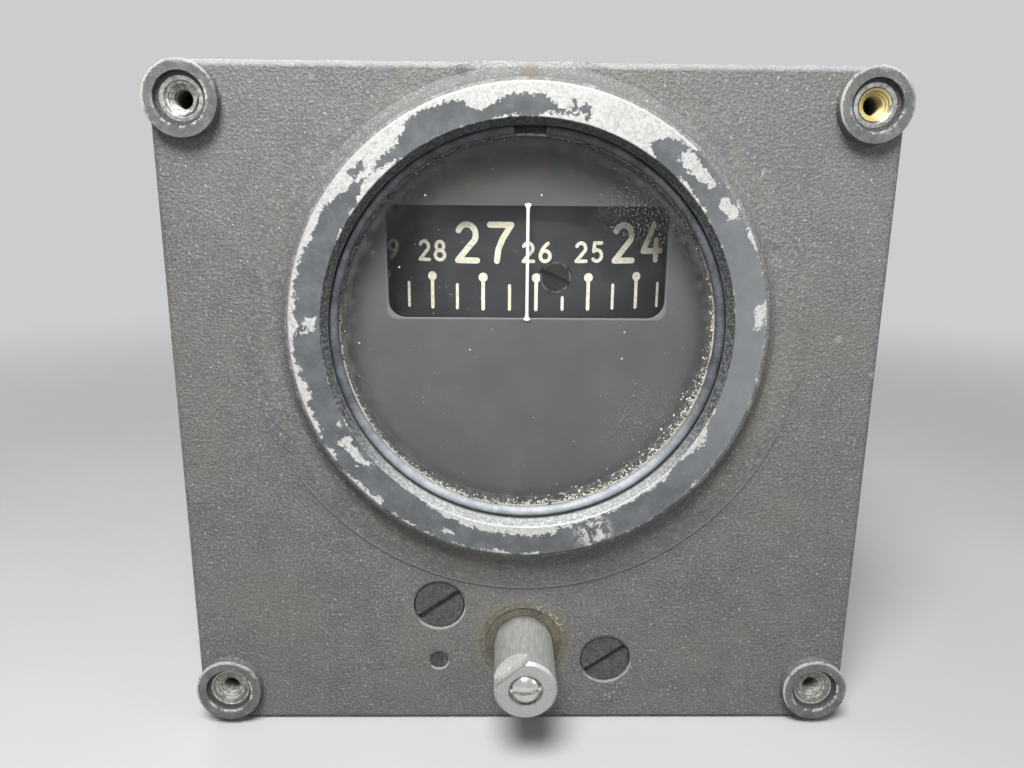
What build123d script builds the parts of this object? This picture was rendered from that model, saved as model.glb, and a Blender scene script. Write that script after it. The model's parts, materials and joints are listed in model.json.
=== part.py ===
from build123d import *
import math
import os

os.makedirs("parts", exist_ok=True)

# Air-driven directional gyro instrument, in millimetres.
# The origin is the centre of the four panel holes, on the face of the front plate.
# +X is to the right as the dial is read, +Y goes into the case and +Z is up.

# Panel mounting pattern
mount_margin_x = 5.8375
mount_margin_z = 6.8
thread_r = 1.75
insert_r = 3.5
insert_depth = 8.5
insert_mouth_r = 2.9
insert_worn_mouth_r = 3.4
boss_r = 6.0
boss_proud = 2.0
boss_back = 12.0
boss_bore_r = 4.2
boss_bore_depth = 1.0

# Front plate and case casting
plate_drop = 0.6
plate_thickness = 5.5
plate_corner_r = 6.0
plate_edge_r = 1.2
case_step_x = 2.9
case_step_z = 2.0
case_wall = 3.0
case_corner_r = 5.0
sump_depth = 4.4
rim_thickness = 4.0

# Fits
running_gap = 0.03
seat_gap = 0.02
thread_gap = 0.02
slide_gap = 0.1

# Dial opening, from the front land to the mask pocket
dial_z = 15.9
glass_bore_r = 33.5
bevel_step = 0.1
bevel_width = 1.1
bevel_depth = 1.6
land_width = 5.0
bezel_draft = 0.9
bezel_proud = 4.2
bezel_fillet_r = 3.6
pad_width = 4.3
pad_proud = 0.25
glass_gap = 0.2
glass_thickness = 2.4
gasket_thickness = 0.5
gasket_step = 0.1
glass_shoulder = 1.7
shoulder_thickness = 0.8
mask_overlap = 3.5
mask_gap = 0.3
mask_thickness = 0.8
ring_wire_r = 0.9
ring_gap_deg = 9.0
groove_depth = 0.8

# Window in the mask and the lubber line across it
window_width = 48.5
window_height = 19.4
window_lower_r = 3.0
window_upper_r = 0.8
lubber_width = 0.9
lubber_thickness = 0.3
lubber_end_r = 0.8
mask_screw_inset = 1.8
mask_screw_r = 0.8
mask_screw_head_r = 1.5
mask_screw_head = 0.9
mask_screw_reach = 2.8

# Caging shaft and what guides it
shaft_drop = 8.4
shaft_proud = 15.3
shaft_r = 5.47
shaft_neck_r = 3.5
shaft_tail = 1.4
flat_depth = 1.6
flat_length = 3.0
flat_turn = 40.0
end_bore_r = 3.0
end_bore_depth = 1.4
end_screw_r = 2.75
end_screw_dome = 1.3
end_screw_shank_r = 1.4
end_screw_reach = 9.0
end_screw_edge = 0.7
end_screw_slot = 0.7
end_screw_slot_turn = 4.0
bushing_r = 8.3
bushing_length = 8.5
packing_r = 7.2
packing_depth = 2.4
knob_travel = 6.35

# Front screws and dowel that hold the caging bracket
left_screw_x = -15.8
left_screw_rise = 7.8
right_screw_x = 15.6
right_screw_rise = -3.5
front_screw_head_r = 4.5
front_screw_bore_r = 4.75
front_screw_head = 1.9
front_screw_sunk = 0.3
front_screw_r = 2.0
front_screw_reach = 13.0
screw_slot = 1.1
slot_turn = 35.0
dowel_x = -16.0
dowel_rise = -3.7
dowel_r = 1.75

# Caging bracket, cam collar and rocker arm
bracket_width = 44.0
bracket_rise = 13.5
bracket_thickness = 3.0
rail_inner_x = 7.3
rail_thickness = 2.5
rail_rise = 3.0
rail_reach = 5.0
floor_gap = 0.9
collar_length = 7.0
collar_r = 6.2
cam_width = 6.0
cam_rise = -6.4
cam_drop = 2.2
cam_gap = 0.2
rocker_setback = 22.0
rocker_pivot_drop = 1.0
rocker_pin_r = 1.5
rocker_hub_r = 2.9
rocker_front_inset = 0.3
rocker_pad_r = 1.0
rocker_bar_width = 7.0
rocker_front_thickness = 1.3
rocker_rear_thickness = 2.5
fork_inner_x = 8.1
fork_setback = 12.0
fork_reach = 3.0
fork_width = 3.9
fork_pad_gap = 0.15
fork_pad_width = 2.6
fork_pad_length = 1.2

# Gyro centre and the vertical gimbal
frame_cradle_gap = 9.5
frame_rotor_gap = 3.0
frame_side = 6.0
frame_bar = 5.5
frame_thickness = 12.0
frame_inner_r = 7.0
frame_outer_r = 7.5
top_hub_r = 6.0
top_hub_gap = 4.0
bottom_hub_r = 5.0
bottom_hub_gap = 2.0
pivot_r = 2.0
pivot_seat = 6.5
pivot_bore = 7.0
air_bore_r = 0.9

# Main bearings, their housings and the air feed
main_bearing_r = 5.0
main_bearing_height = 4.0
top_bearing_rise = 10.5
bottom_bearing_drop = 7.0
top_housing_r = 8.0
top_boss_r = 12.0
top_boss_rise = 1.0
top_housing_drop = 1.5
lock_ring_r = 12.0
lock_ring_height = 1.8
bottom_housing_r = 7.5
bottom_housing_lip = 1.0
bottom_flange_r = 12.5
bottom_flange = 1.4
bottom_screw_circle_r = 10.0
bottom_screw_r = 1.0
tube_r = 2.3
tube_bore_r = 1.6
tube_drop = 1.4

# Compass card and its carrier
card_arm = 9.5
card_side_gap = 1.5
card_front_gap = 1.5
card_back_gap = 2.0
card_wall = 0.9
card_bottom = 15.0
card_top = 39.0
card_screw_z = 24.3
card_screw_turn = 5.4
card_screw_count = 4
card_screw_head_r = 2.8
card_screw_r = 1.1
card_screw_reach = 2.2
card_screw_slot = 0.9
card_screw_slot_depth = 0.5
card_screw_slot_turn = -25.0
card_screw_proud = 0.05
carrier_depth = 2.8
carrier_bottom = 21.0
carrier_top = 28.0
carrier_arm_width = 12.0
carrier_screw_r = 1.3
carrier_screw_head_r = 2.5
carrier_screw_head = 2.0
carrier_screw_grip = 3.0

# Synchroniser gears, with straight-sided teeth
gear_module = 0.8
gear_teeth = 72
pinion_teeth = 12
gear_face = 4.0
gear_seat_gap = 0.1
gear_web = 1.7
gear_root_depth = 1.0
gear_tip_height = 0.7
tooth_root = 0.65
tooth_pitch = 0.5
gear_tooth_tip = 0.25
pinion_tooth_tip = 0.3
gear_hub_r = 12.0
gear_window_turn = 45.0
gear_window_r = 5.2
gear_window_circle_r = 19.0
gear_screw_x = 9.0
gear_screw_r = 1.2
gear_screw_head_r = 2.2
gear_screw_head = 1.2
gear_screw_reach = 3.0
pinion_face = 3.5
pinion_hub_length = 2.9
pinion_hub_r = 3.7

# Levelling sleeve, rods and ring
sleeve_r = 12.0
sleeve_height = 2.0
sleeve_rise = 1.5
sleeve_gap = 0.1
rod_r = 1.2
rod_offset = 9.0
arm_rise = 1.8
arm_thickness = 1.8
arm_width = 6.0
level_ring_gap = 4.0
level_ring_width = 3.0
level_ring_rise = 10.1
level_ring_height = 2.0

# Rotor gimbal, which carries the rotor and tilts in the vertical gimbal
cradle_rotor_gap = 2.0
cradle_inner_y = 13.0
cradle_wall = 5.0
cradle_half_z = 7.0
cradle_corner_r = 5.0
tilt_boss_r = 5.0
tilt_boss = 2.5
tilt_pivot_r = 1.5
tilt_bearing_r = 4.0
tilt_bearing_lip = 1.0
tilt_bearing_width = 4.0
tilt_cap_r = 5.4
tilt_cap = 1.2
spin_boss_r = 7.0
spin_boss_y = 22.0
spin_bearing_r = 5.0
spin_bearing_width = 5.0
spin_cap = 1.4
balance_inset = 6.0
balance_stud_r = 1.0
balance_nut_r = 2.8
balance_nut = 2.2
balance_reach = 3.6

# Rotor and its shaft
rotor_r = 27.0
rotor_width = 20.0
rotor_rim = 7.5
rotor_web = 7.0
rotor_hub_r = 7.0
rotor_hub_width = 23.0
rotor_shaft_r = 3.0
journal_r = 1.5
journal_end = 21.0
bucket_count = 24
bucket_depth = 2.2
bucket_width = 9.0

# Air nozzles on the vertical gimbal
nozzle_r = 1.9
nozzle_bore_r = 0.7
nozzle_start_x = 8.0
nozzle_seat = 2.4
nozzle_end_x = 17.0
nozzle_aim = 1.1
nozzle_tip_r = 1.2
nozzle_tip = 3.0

# Rear cover, filter and ports
cover_gasket = 0.5
cover_plate = 4.0
dome_step_x = 6.5
dome_step_z = 5.8
dome_depth = 11.0
dome_r = 8.0
dome_edge_r = 3.0
cover_wall = 3.0
cover_screw_inset_x = 3.0
cover_screw_inset_z = 2.5
cover_screw_side = 36.0
cover_screw_r = 1.4
cover_screw_head_r = 2.4
cover_screw_head = 2.0
cover_screw_reach = 4.0
filter_z = -36.0
cup_setback = 1.0
cup_r = 23.8
cup_bore_r = 21.5
cup_ledge_r = 19.5
cup_floor = 2.0
chamber_depth = 2.5
pad_thickness = 5.0
screen_thickness = 0.6
screen_hole_r = 1.5
screen_pitch = 7.5
filter_ring_inner_r = 18.5
filter_ring = 1.8
filter_gap = 0.15
port_x = 28.0
port_z = 28.0
port_boss_r = 11.0
port_boss_proud = 4.0
port_thread_r = 5.6
plug_head_r = 7.6
plug_head = 3.0
plug_reach = 7.0

# Gyro, outwards from the rotor and down to the shaft
cradle_inner_x = rotor_r + cradle_rotor_gap
balance_x = cradle_inner_x - balance_inset
frame_half_x = cradle_inner_x + frame_cradle_gap
frame_half_z = rotor_r + frame_rotor_gap
frame_outer_x = frame_half_x + frame_side
frame_outer_z = frame_half_z + frame_bar
nozzle_start_z = frame_half_z + nozzle_seat
nozzle_end_z = rotor_r - nozzle_aim
card_r = frame_outer_x + card_arm
gear_web_top = -frame_outer_z - gear_seat_gap
arm_z = gear_web_top + arm_rise
level_ring_inner_r = rotor_r + level_ring_gap
level_ring_outer_r = level_ring_inner_r + level_ring_width
level_ring_top = gear_web_top + level_ring_rise
shaft_z = gear_web_top - shaft_drop
top_bearing_z = frame_outer_z + top_bearing_rise
bottom_bearing_z = shaft_z - bottom_bearing_drop

# Dial opening, outwards from the glass
bevel_r = glass_bore_r + bevel_step
land_inner_r = bevel_r + bevel_width
bezel_r = land_inner_r + land_width
bezel_base_r = bezel_r + bezel_draft
pad_r = bezel_base_r + bezel_fillet_r + pad_width
aperture_r = glass_bore_r - glass_shoulder
gasket_inner_r = aperture_r + gasket_step
mask_r = glass_bore_r + mask_overlap
mask_screw_circle_r = mask_r - mask_screw_inset
bevel_y = -bezel_proud + bevel_depth
groove_y = -2 * ring_wire_r - 0.1
gasket_y = glass_thickness
shoulder_y = gasket_y + gasket_thickness
mask_y = shoulder_y + shoulder_thickness
mask_back = mask_y + mask_thickness
window_z = (card_bottom + card_top) / 2

# Case, fitted round the card and over the bottom bearing
gyro_y = mask_back + card_front_gap + card_r
case_depth = gyro_y + card_r + card_back_gap
inner_width = 2 * (card_r + card_side_gap)
case_width = inner_width + 2 * case_wall
case_z = -plate_drop
floor_z = bottom_bearing_z - sump_depth
inner_height = 2 * (case_z - floor_z)
case_height = inner_height + 2 * case_wall
case_bottom = case_z - case_height / 2
case_top = case_z + case_height / 2
plate_width = case_width + 2 * case_step_x
plate_height = case_height + 2 * case_step_z
mount_width = plate_width - 2 * mount_margin_x
mount_height = plate_height - 2 * mount_margin_z
mount_points = [(x * mount_width / 2, z * mount_height / 2) for x in (-1, 1) for z in (-1, 1)]

# Bearing housings, card carrier and gears
top_hub_z = top_bearing_z - top_hub_gap
top_boss_z = top_bearing_z + top_boss_rise
top_housing_z = top_bearing_z - top_housing_drop
bottom_housing_top = bottom_bearing_z + main_bearing_height + bottom_housing_lip
bottom_hub_z = bottom_bearing_z + main_bearing_height + bottom_hub_gap
tube_z = bottom_bearing_z - tube_drop
tilt_bearing_x = frame_half_x + tilt_bearing_lip
card_inner_r = card_r - card_wall
carrier_r = card_inner_r - 2 * seat_gap
carrier_inner_r = carrier_r - carrier_depth
carrier_screw_z = (carrier_bottom + carrier_top) / 2
carrier_screw_reach = frame_outer_x - carrier_screw_grip
gear_r = gear_module * gear_teeth / 2
gear_outer_r = gear_r + gear_face / 2
pitch_z = shaft_z + gear_module * pinion_teeth / 2
gear_root_z = pitch_z + gear_root_depth
sleeve_z = bottom_hub_z + sleeve_rise

# Caging shaft and what it works, forwards from the gears
pinion_mesh_y = gyro_y - gear_r - pinion_face / 2
pinion_tooth_y = pinion_mesh_y - knob_travel
pinion_y = pinion_tooth_y - pinion_hub_length
collar_end_y = pinion_y - slide_gap
collar_y = collar_end_y - collar_length
shaft_shoulder_y = collar_y - slide_gap
shaft_tail_y = pinion_tooth_y + pinion_face + shaft_tail
bracket_top = shaft_z + bracket_rise
rail_top = shaft_z + rail_rise
cam_high_z = shaft_z + cam_rise
rocker_pivot_y = gyro_y - rocker_setback
rocker_pivot_z = bottom_bearing_z - rocker_pivot_drop
rocker_front_y = collar_end_y - rocker_front_inset
rail_end_y = rocker_pivot_y + rail_reach
dowel_z = shaft_z + dowel_rise
front_screw_points = [
    (left_screw_x, shaft_z + left_screw_rise),
    (right_screw_x, shaft_z + right_screw_rise),
]

# Rear cover
cover_y = case_depth + cover_gasket
dome_width = case_width - 2 * dome_step_x
dome_height = case_height - 2 * dome_step_z
dome_y = cover_y + cover_plate + dome_depth
cup_y = cover_y + cup_setback
ledge_y = cup_y + cup_floor + chamber_depth
cover_screw_x = plate_width / 2 - cover_screw_inset_x
cover_screw_z = plate_height / 2 - cover_screw_inset_z
cover_screw_points = [
    (x * cover_screw_x, case_z + z * cover_screw_side) for x in (-1, 1) for z in (-1, 1)
] + [(x * cover_screw_side, case_z + z * cover_screw_z) for x in (-1, 1) for z in (-1, 1)]

# Axes
dial_axis = Axis((0, 0, dial_z), (0, 1, 0))
shaft_axis = Axis((0, 0, shaft_z), (0, 1, 0))
gyro_vertical = Axis((0, gyro_y, 0), (0, 0, 1))
gyro_spin = Axis((0, gyro_y, 0), (0, 1, 0))


def facing(y):
    """The plane across the case at depth y, seen from the front: x is +X and y is +Z."""
    return Plane.XZ.offset(-y)


def lengthwise(x, z):
    """The plane through a line that runs along +Y: x is the radius and y is the depth."""
    return Plane((x, 0, z), x_dir=(1, 0, 0), z_dir=(0, 0, 1))


def upright():
    """The plane through the gyro's centre that holds its vertical and tilt axes: x is +X and y is +Z."""
    return Plane.XZ.offset(-gyro_y)


def level(z):
    """The level plane at height z with its middle on the gyro's vertical axis."""
    return Plane((0, gyro_y, z), x_dir=(1, 0, 0), z_dir=(0, 0, 1))


def card_screw_plane(i, r):
    """The upright plane at radius r that faces outwards at the i-th card screw."""
    turn = math.radians(-90 + card_screw_turn + i * 360 / card_screw_count)
    out = (math.cos(turn), math.sin(turn), 0)
    return Plane((0, gyro_y, card_screw_z), x_dir=(-out[1], out[0], 0), z_dir=out).offset(r)


# Case casting: front plate with the dial bezel, box, rear rim and bosses
with BuildPart() as case_body:
    with BuildSketch(facing(0)):
        with Locations((0, case_z)):
            RectangleRounded(plate_width, plate_height, plate_corner_r)
    extrude(amount=-plate_thickness)
    fillet(case_body.faces().sort_by(Axis.Y)[0].edges(), plate_edge_r)
    # Raised bezel with its cast fillet, and the faint round pad that it stands on
    with BuildSketch(lengthwise(0, dial_z)):
        with BuildLine():
            Polyline((0, 1), (0, -bezel_proud), (bezel_r, -bezel_proud), (bezel_base_r, -bezel_fillet_r))
            RadiusArc((bezel_base_r, -bezel_fillet_r), (bezel_base_r + bezel_fillet_r, 0), bezel_fillet_r)
            Polyline((bezel_base_r + bezel_fillet_r, 0), (bezel_base_r + bezel_fillet_r, 1), (0, 1))
        make_face()
    revolve(axis=dial_axis)
    with BuildSketch(facing(0)):
        with Locations((0, dial_z)):
            Circle(pad_r)
        with Locations((0, case_z)):
            RectangleRounded(
                plate_width - 2 * plate_edge_r,
                plate_height - 2 * plate_edge_r,
                plate_corner_r - plate_edge_r,
                mode=Mode.INTERSECT,
            )
    extrude(amount=pad_proud)
    with BuildSketch(facing(-bezel_proud)):
        with Locations((0, case_z)):
            RectangleRounded(plate_width, plate_height, plate_corner_r)
    extrude(amount=-(bezel_proud + plate_thickness), mode=Mode.INTERSECT)
    # Box and rear rim
    with BuildSketch(facing(plate_thickness)):
        with Locations((0, case_z)):
            RectangleRounded(case_width, case_height, case_corner_r)
    extrude(amount=-(case_depth - plate_thickness))
    with BuildSketch(facing(case_depth)):
        with Locations((0, case_z)):
            RectangleRounded(plate_width, plate_height, plate_corner_r)
    extrude(amount=rim_thickness)
    with BuildSketch(facing(case_depth)):
        with Locations((0, case_z)):
            RectangleRounded(inner_width, inner_height, case_corner_r - case_wall + 0.5)
    extrude(amount=case_depth - plate_thickness, mode=Mode.SUBTRACT)
    # Opening for the glass, its ring and the mask
    with BuildSketch(lengthwise(0, dial_z)):
        Polygon(
            (0, -bezel_proud - 1),
            (land_inner_r, -bezel_proud - 1),
            (land_inner_r, -bezel_proud),
            (bevel_r, bevel_y),
            (bevel_r, groove_y),
            (bevel_r + groove_depth, groove_y),
            (bevel_r + groove_depth, 0),
            (glass_bore_r, 0),
            (glass_bore_r, shoulder_y),
            (aperture_r, shoulder_y),
            (aperture_r, mask_y),
            (mask_r + mask_gap, mask_y),
            (mask_r + mask_gap, plate_thickness + 1),
            (0, plate_thickness + 1),
            align=None,
        )
    revolve(axis=dial_axis, mode=Mode.SUBTRACT)
    # Corner bosses with blind bores for the threaded inserts
    with BuildSketch(facing(-boss_proud)):
        with Locations(*mount_points):
            Circle(boss_r)
    extrude(amount=-(boss_proud + boss_back))
    with BuildSketch(facing(-boss_proud)):
        with Locations(*mount_points):
            Circle(boss_bore_r)
    extrude(amount=-boss_bore_depth, mode=Mode.SUBTRACT)
    with BuildSketch(facing(-boss_proud)):
        with Locations(*mount_points):
            Circle(insert_r + seat_gap)
    extrude(amount=-(boss_proud + insert_depth), mode=Mode.SUBTRACT)
    # Bushing bore, bracket screws, dowel and mask screws
    with BuildSketch(facing(-1)):
        with Locations((0, shaft_z)):
            Circle(bushing_r + seat_gap)
        with Locations(*front_screw_points):
            Circle(front_screw_r + slide_gap)
        with Locations((dowel_x, dowel_z)):
            Circle(dowel_r + seat_gap)
    extrude(amount=-(plate_thickness + 2), mode=Mode.SUBTRACT)
    with BuildSketch(facing(-1)):
        with Locations(*front_screw_points):
            Circle(front_screw_bore_r)
    extrude(amount=-(1 + front_screw_sunk + front_screw_head), mode=Mode.SUBTRACT)
    with BuildSketch(facing(mask_y)):
        with Locations((0, dial_z)):
            with PolarLocations(mask_screw_circle_r, 3, start_angle=90):
                Circle(mask_screw_r + thread_gap)
    extrude(amount=mask_screw_reach + 0.1, mode=Mode.SUBTRACT)
    # Top bearing boss, and the holes for both bearing housings
    with BuildSketch(level(top_boss_z)):
        Circle(top_boss_r)
    extrude(amount=case_top - case_wall - top_boss_z + 0.5)
    with BuildSketch(level(top_boss_z - 1)):
        Circle(top_housing_r + seat_gap)
    extrude(amount=case_top - top_boss_z + 2, mode=Mode.SUBTRACT)
    with BuildSketch(level(case_bottom - 1)):
        Circle(bottom_housing_r + seat_gap)
        with PolarLocations(bottom_screw_circle_r, 3, start_angle=90):
            Circle(bottom_screw_r + thread_gap)
    extrude(amount=case_wall + 2, mode=Mode.SUBTRACT)
    # Tapped holes in the rear rim
    with BuildSketch(facing(case_depth)):
        with Locations(*cover_screw_points):
            Circle(cover_screw_r + thread_gap)
    extrude(amount=cover_screw_reach, mode=Mode.SUBTRACT)
case_body.part.label = "case_body"
export_step(case_body.part, "parts/case_body.step")

# Threaded inserts in the corner bosses; the lower two have worn, wider mouths
with BuildPart() as mounting_inserts:
    with BuildSketch(facing(boss_bore_depth - boss_proud)):
        with Locations(*mount_points):
            Circle(insert_r)
    extrude(amount=-(boss_proud - boss_bore_depth + insert_depth))
    with BuildSketch(facing(boss_bore_depth - boss_proud)):
        with Locations(*mount_points):
            Circle(thread_r)
    extrude(amount=-(boss_proud - boss_bore_depth + insert_depth), mode=Mode.SUBTRACT)
    for x, z in mount_points:
        mouth_r = insert_mouth_r if z > 0 else insert_worn_mouth_r
        with BuildSketch(lengthwise(x, z)):
            Polygon((0, boss_bore_depth - boss_proud), (mouth_r, boss_bore_depth - boss_proud),
                    (thread_r, 0), (0, 0), align=None)
        revolve(axis=Axis((x, 0, z), (0, 1, 0)), mode=Mode.SUBTRACT)
mounting_inserts.part.label = "mounting_inserts"
export_step(mounting_inserts.part, "parts/mounting_inserts.step")

# Round wire ring that holds the glass in, split at the top
with BuildPart() as glass_snap_ring:
    start = math.radians(90 + ring_gap_deg / 2)
    ring_plane = Plane((0, 0, dial_z), x_dir=(math.cos(start), 0, math.sin(start)),
                       z_dir=(-math.sin(start), 0, math.cos(start)))
    with BuildSketch(ring_plane):
        with Locations((glass_bore_r - ring_wire_r + groove_depth / 2, -ring_wire_r)):
            Circle(ring_wire_r)
    revolve(axis=dial_axis, revolution_arc=-(360 - ring_gap_deg))
glass_snap_ring.part.label = "glass_snap_ring"
export_step(glass_snap_ring.part, "parts/glass_snap_ring.step")

# Cover glass and the gasket behind it
with BuildPart() as cover_glass:
    with BuildSketch(facing(0)):
        with Locations((0, dial_z)):
            Circle(glass_bore_r - glass_gap)
    extrude(amount=-glass_thickness)
cover_glass.part.label = "cover_glass"
export_step(cover_glass.part, "parts/cover_glass.step")

with BuildPart() as glass_gasket:
    with BuildSketch(facing(gasket_y)):
        with Locations((0, dial_z)):
            Circle(glass_bore_r - glass_gap)
            Circle(gasket_inner_r, mode=Mode.SUBTRACT)
    extrude(amount=-gasket_thickness)
glass_gasket.part.label = "glass_gasket"
export_step(glass_gasket.part, "parts/glass_gasket.step")

# Dial mask: a disc with the card's window, held from behind by three screws
with BuildPart() as dial_mask:
    with BuildSketch(facing(mask_y)):
        with Locations((0, dial_z)):
            Circle(mask_r)
            with PolarLocations(mask_screw_circle_r, 3, start_angle=90):
                Circle(mask_screw_r + slide_gap, mode=Mode.SUBTRACT)
        with Locations((0, window_z)):
            RectangleRounded(window_width, window_height, window_lower_r, mode=Mode.SUBTRACT)
        with Locations((0, window_z + window_height / 2)):
            RectangleRounded(
                window_width,
                window_height - 2 * window_lower_r,
                window_upper_r,
                align=(Align.CENTER, Align.MAX),
                mode=Mode.SUBTRACT,
            )
    extrude(amount=-mask_thickness)
dial_mask.part.label = "dial_mask"
export_step(dial_mask.part, "parts/dial_mask.step")

with BuildPart() as mask_screws:
    with BuildSketch(facing(mask_back)):
        with Locations((0, dial_z)):
            with PolarLocations(mask_screw_circle_r, 3, start_angle=90):
                Circle(mask_screw_head_r)
    extrude(amount=-mask_screw_head)
    with BuildSketch(facing(mask_back)):
        with Locations((0, dial_z)):
            with PolarLocations(mask_screw_circle_r, 3, start_angle=90):
                Circle(mask_screw_r)
    extrude(amount=mask_thickness + mask_screw_reach)
mask_screws.part.label = "mask_screws"
export_step(mask_screws.part, "parts/mask_screws.step")

# Lubber line: a thin strip across the window with a small foot at each end
with BuildPart() as lubber_line:
    lubber_y = mask_y - lubber_thickness
    foot_z = window_height / 2 + 0.2
    with BuildSketch(facing(lubber_y)):
        with Locations((0, window_z)):
            Rectangle(lubber_width, 2 * foot_z)
        with Locations((0, window_z - foot_z), (0, window_z + foot_z)):
            Circle(lubber_end_r)
    extrude(amount=-lubber_thickness)
lubber_line.part.label = "lubber_line"
export_step(lubber_line.part, "parts/lubber_line.step")

# Flush slotted screws and the dowel that hold the caging bracket to the plate
with BuildPart() as front_screws:
    with BuildSketch(facing(front_screw_sunk)):
        with Locations(*front_screw_points):
            Circle(front_screw_head_r)
    extrude(amount=-front_screw_head)
    with BuildSketch(facing(front_screw_sunk)):
        with Locations(*front_screw_points):
            Circle(front_screw_r)
    extrude(amount=-(front_screw_reach - front_screw_sunk))
    with BuildSketch(facing(front_screw_sunk)):
        with Locations(*[Location((x, z, 0), (0, 0, slot_turn)) for x, z in front_screw_points]):
            Rectangle(2 * front_screw_head_r + 1, screw_slot)
    extrude(amount=-front_screw_head / 2, mode=Mode.SUBTRACT)
front_screws.part.label = "front_screws"
export_step(front_screws.part, "parts/front_screws.step")

with BuildPart() as front_dowel:
    with BuildSketch(facing(front_screw_sunk)):
        with Locations((dowel_x, dowel_z)):
            Circle(dowel_r)
    extrude(amount=-(plate_thickness + bracket_thickness - front_screw_sunk))
front_dowel.part.label = "front_dowel"
export_step(front_dowel.part, "parts/front_dowel.step")

# Caging bracket: a plate behind the front wall with two rails that guide the collar
with BuildPart() as caging_bracket:
    bracket_bottom = floor_z + floor_gap
    bracket_y = plate_thickness
    with BuildSketch(facing(bracket_y)):
        with Locations((0, (bracket_top + bracket_bottom) / 2)):
            RectangleRounded(bracket_width, bracket_top - bracket_bottom, 4)
    extrude(amount=-bracket_thickness)
    with BuildSketch(facing(bracket_y)):
        with Locations(*front_screw_points):
            Circle(front_screw_head_r)
    extrude(amount=-(front_screw_reach - bracket_y + 1))
    for side in (-1, 1):
        with BuildSketch(Plane.YZ.offset(side * (rail_inner_x + rail_thickness / 2))):
            with BuildLine():
                Polyline(
                    (bracket_y, bracket_bottom),
                    (rail_end_y, bracket_bottom),
                    (rail_end_y, rocker_pivot_z + rocker_hub_r),
                    (rail_end_y - 6, rail_top),
                    (bracket_y, rail_top),
                    close=True,
                )
            make_face()
        extrude(amount=rail_thickness / 2, both=True)
    with BuildSketch(facing(bracket_y)):
        with Locations((0, shaft_z)):
            Circle(bushing_r + seat_gap)
        with Locations((dowel_x, dowel_z)):
            Circle(dowel_r + seat_gap)
    extrude(amount=-bracket_thickness, mode=Mode.SUBTRACT)
    with BuildSketch(facing(bracket_y)):
        with Locations(*front_screw_points):
            Circle(front_screw_r + thread_gap)
    extrude(amount=-(front_screw_reach - bracket_y + 1), mode=Mode.SUBTRACT)
    with BuildSketch(Plane.YZ):
        with Locations((rocker_pivot_y, rocker_pivot_z)):
            Circle(rocker_pin_r + seat_gap)
    extrude(amount=bracket_width, both=True, mode=Mode.SUBTRACT)
caging_bracket.part.label = "caging_bracket"
export_step(caging_bracket.part, "parts/caging_bracket.step")

# Shaft bushing with a recess for the packing
with BuildPart() as shaft_bushing:
    with BuildSketch(lengthwise(0, shaft_z)):
        Polygon(
            (packing_r, 0),
            (bushing_r, 0),
            (bushing_r, bushing_length),
            (shaft_r + running_gap, bushing_length),
            (shaft_r + running_gap, packing_depth),
            (packing_r, packing_depth),
            align=None,
        )
    revolve(axis=shaft_axis)
shaft_bushing.part.label = "shaft_bushing"
export_step(shaft_bushing.part, "parts/shaft_bushing.step")

with BuildPart() as shaft_packing:
    with BuildSketch(facing(0.2)):
        with Locations((0, shaft_z)):
            Circle(packing_r)
            Circle(shaft_r + slide_gap, mode=Mode.SUBTRACT)
    extrude(amount=-(packing_depth - 0.2))
shaft_packing.part.label = "shaft_packing"
export_step(shaft_packing.part, "parts/shaft_packing.step")

# Caging shaft: bare aluminium end with a flat where the knob sat, and a neck for the collar
with BuildPart() as caging_shaft:
    with BuildSketch(lengthwise(0, shaft_z)):
        Polygon(
            (0, -shaft_proud),
            (shaft_r - 0.5, -shaft_proud),
            (shaft_r, -shaft_proud + 0.5),
            (shaft_r, shaft_shoulder_y),
            (shaft_neck_r, shaft_shoulder_y),
            (shaft_neck_r, pinion_y),
            (shaft_neck_r - 0.5, pinion_y),
            (shaft_neck_r - 0.5, shaft_tail_y),
            (0, shaft_tail_y),
            align=None,
        )
    revolve(axis=shaft_axis)
    with BuildSketch(facing(-shaft_proud)):
        with Locations(Location((0, shaft_z, 0), (0, 0, flat_turn))):
            with Locations((0, shaft_r - flat_depth + 2)):
                Rectangle(4 * shaft_r, 4)
    extrude(amount=-flat_length, mode=Mode.SUBTRACT)
    with BuildSketch(facing(-shaft_proud)):
        with Locations((0, shaft_z)):
            Circle(end_bore_r)
    extrude(amount=-end_bore_depth, mode=Mode.SUBTRACT)
    with BuildSketch(facing(-shaft_proud)):
        with Locations((0, shaft_z)):
            Circle(end_screw_shank_r + thread_gap)
    extrude(amount=-(end_bore_depth + end_screw_reach + 0.5), mode=Mode.SUBTRACT)
caging_shaft.part.label = "caging_shaft"
export_step(caging_shaft.part, "parts/caging_shaft.step")

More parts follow.
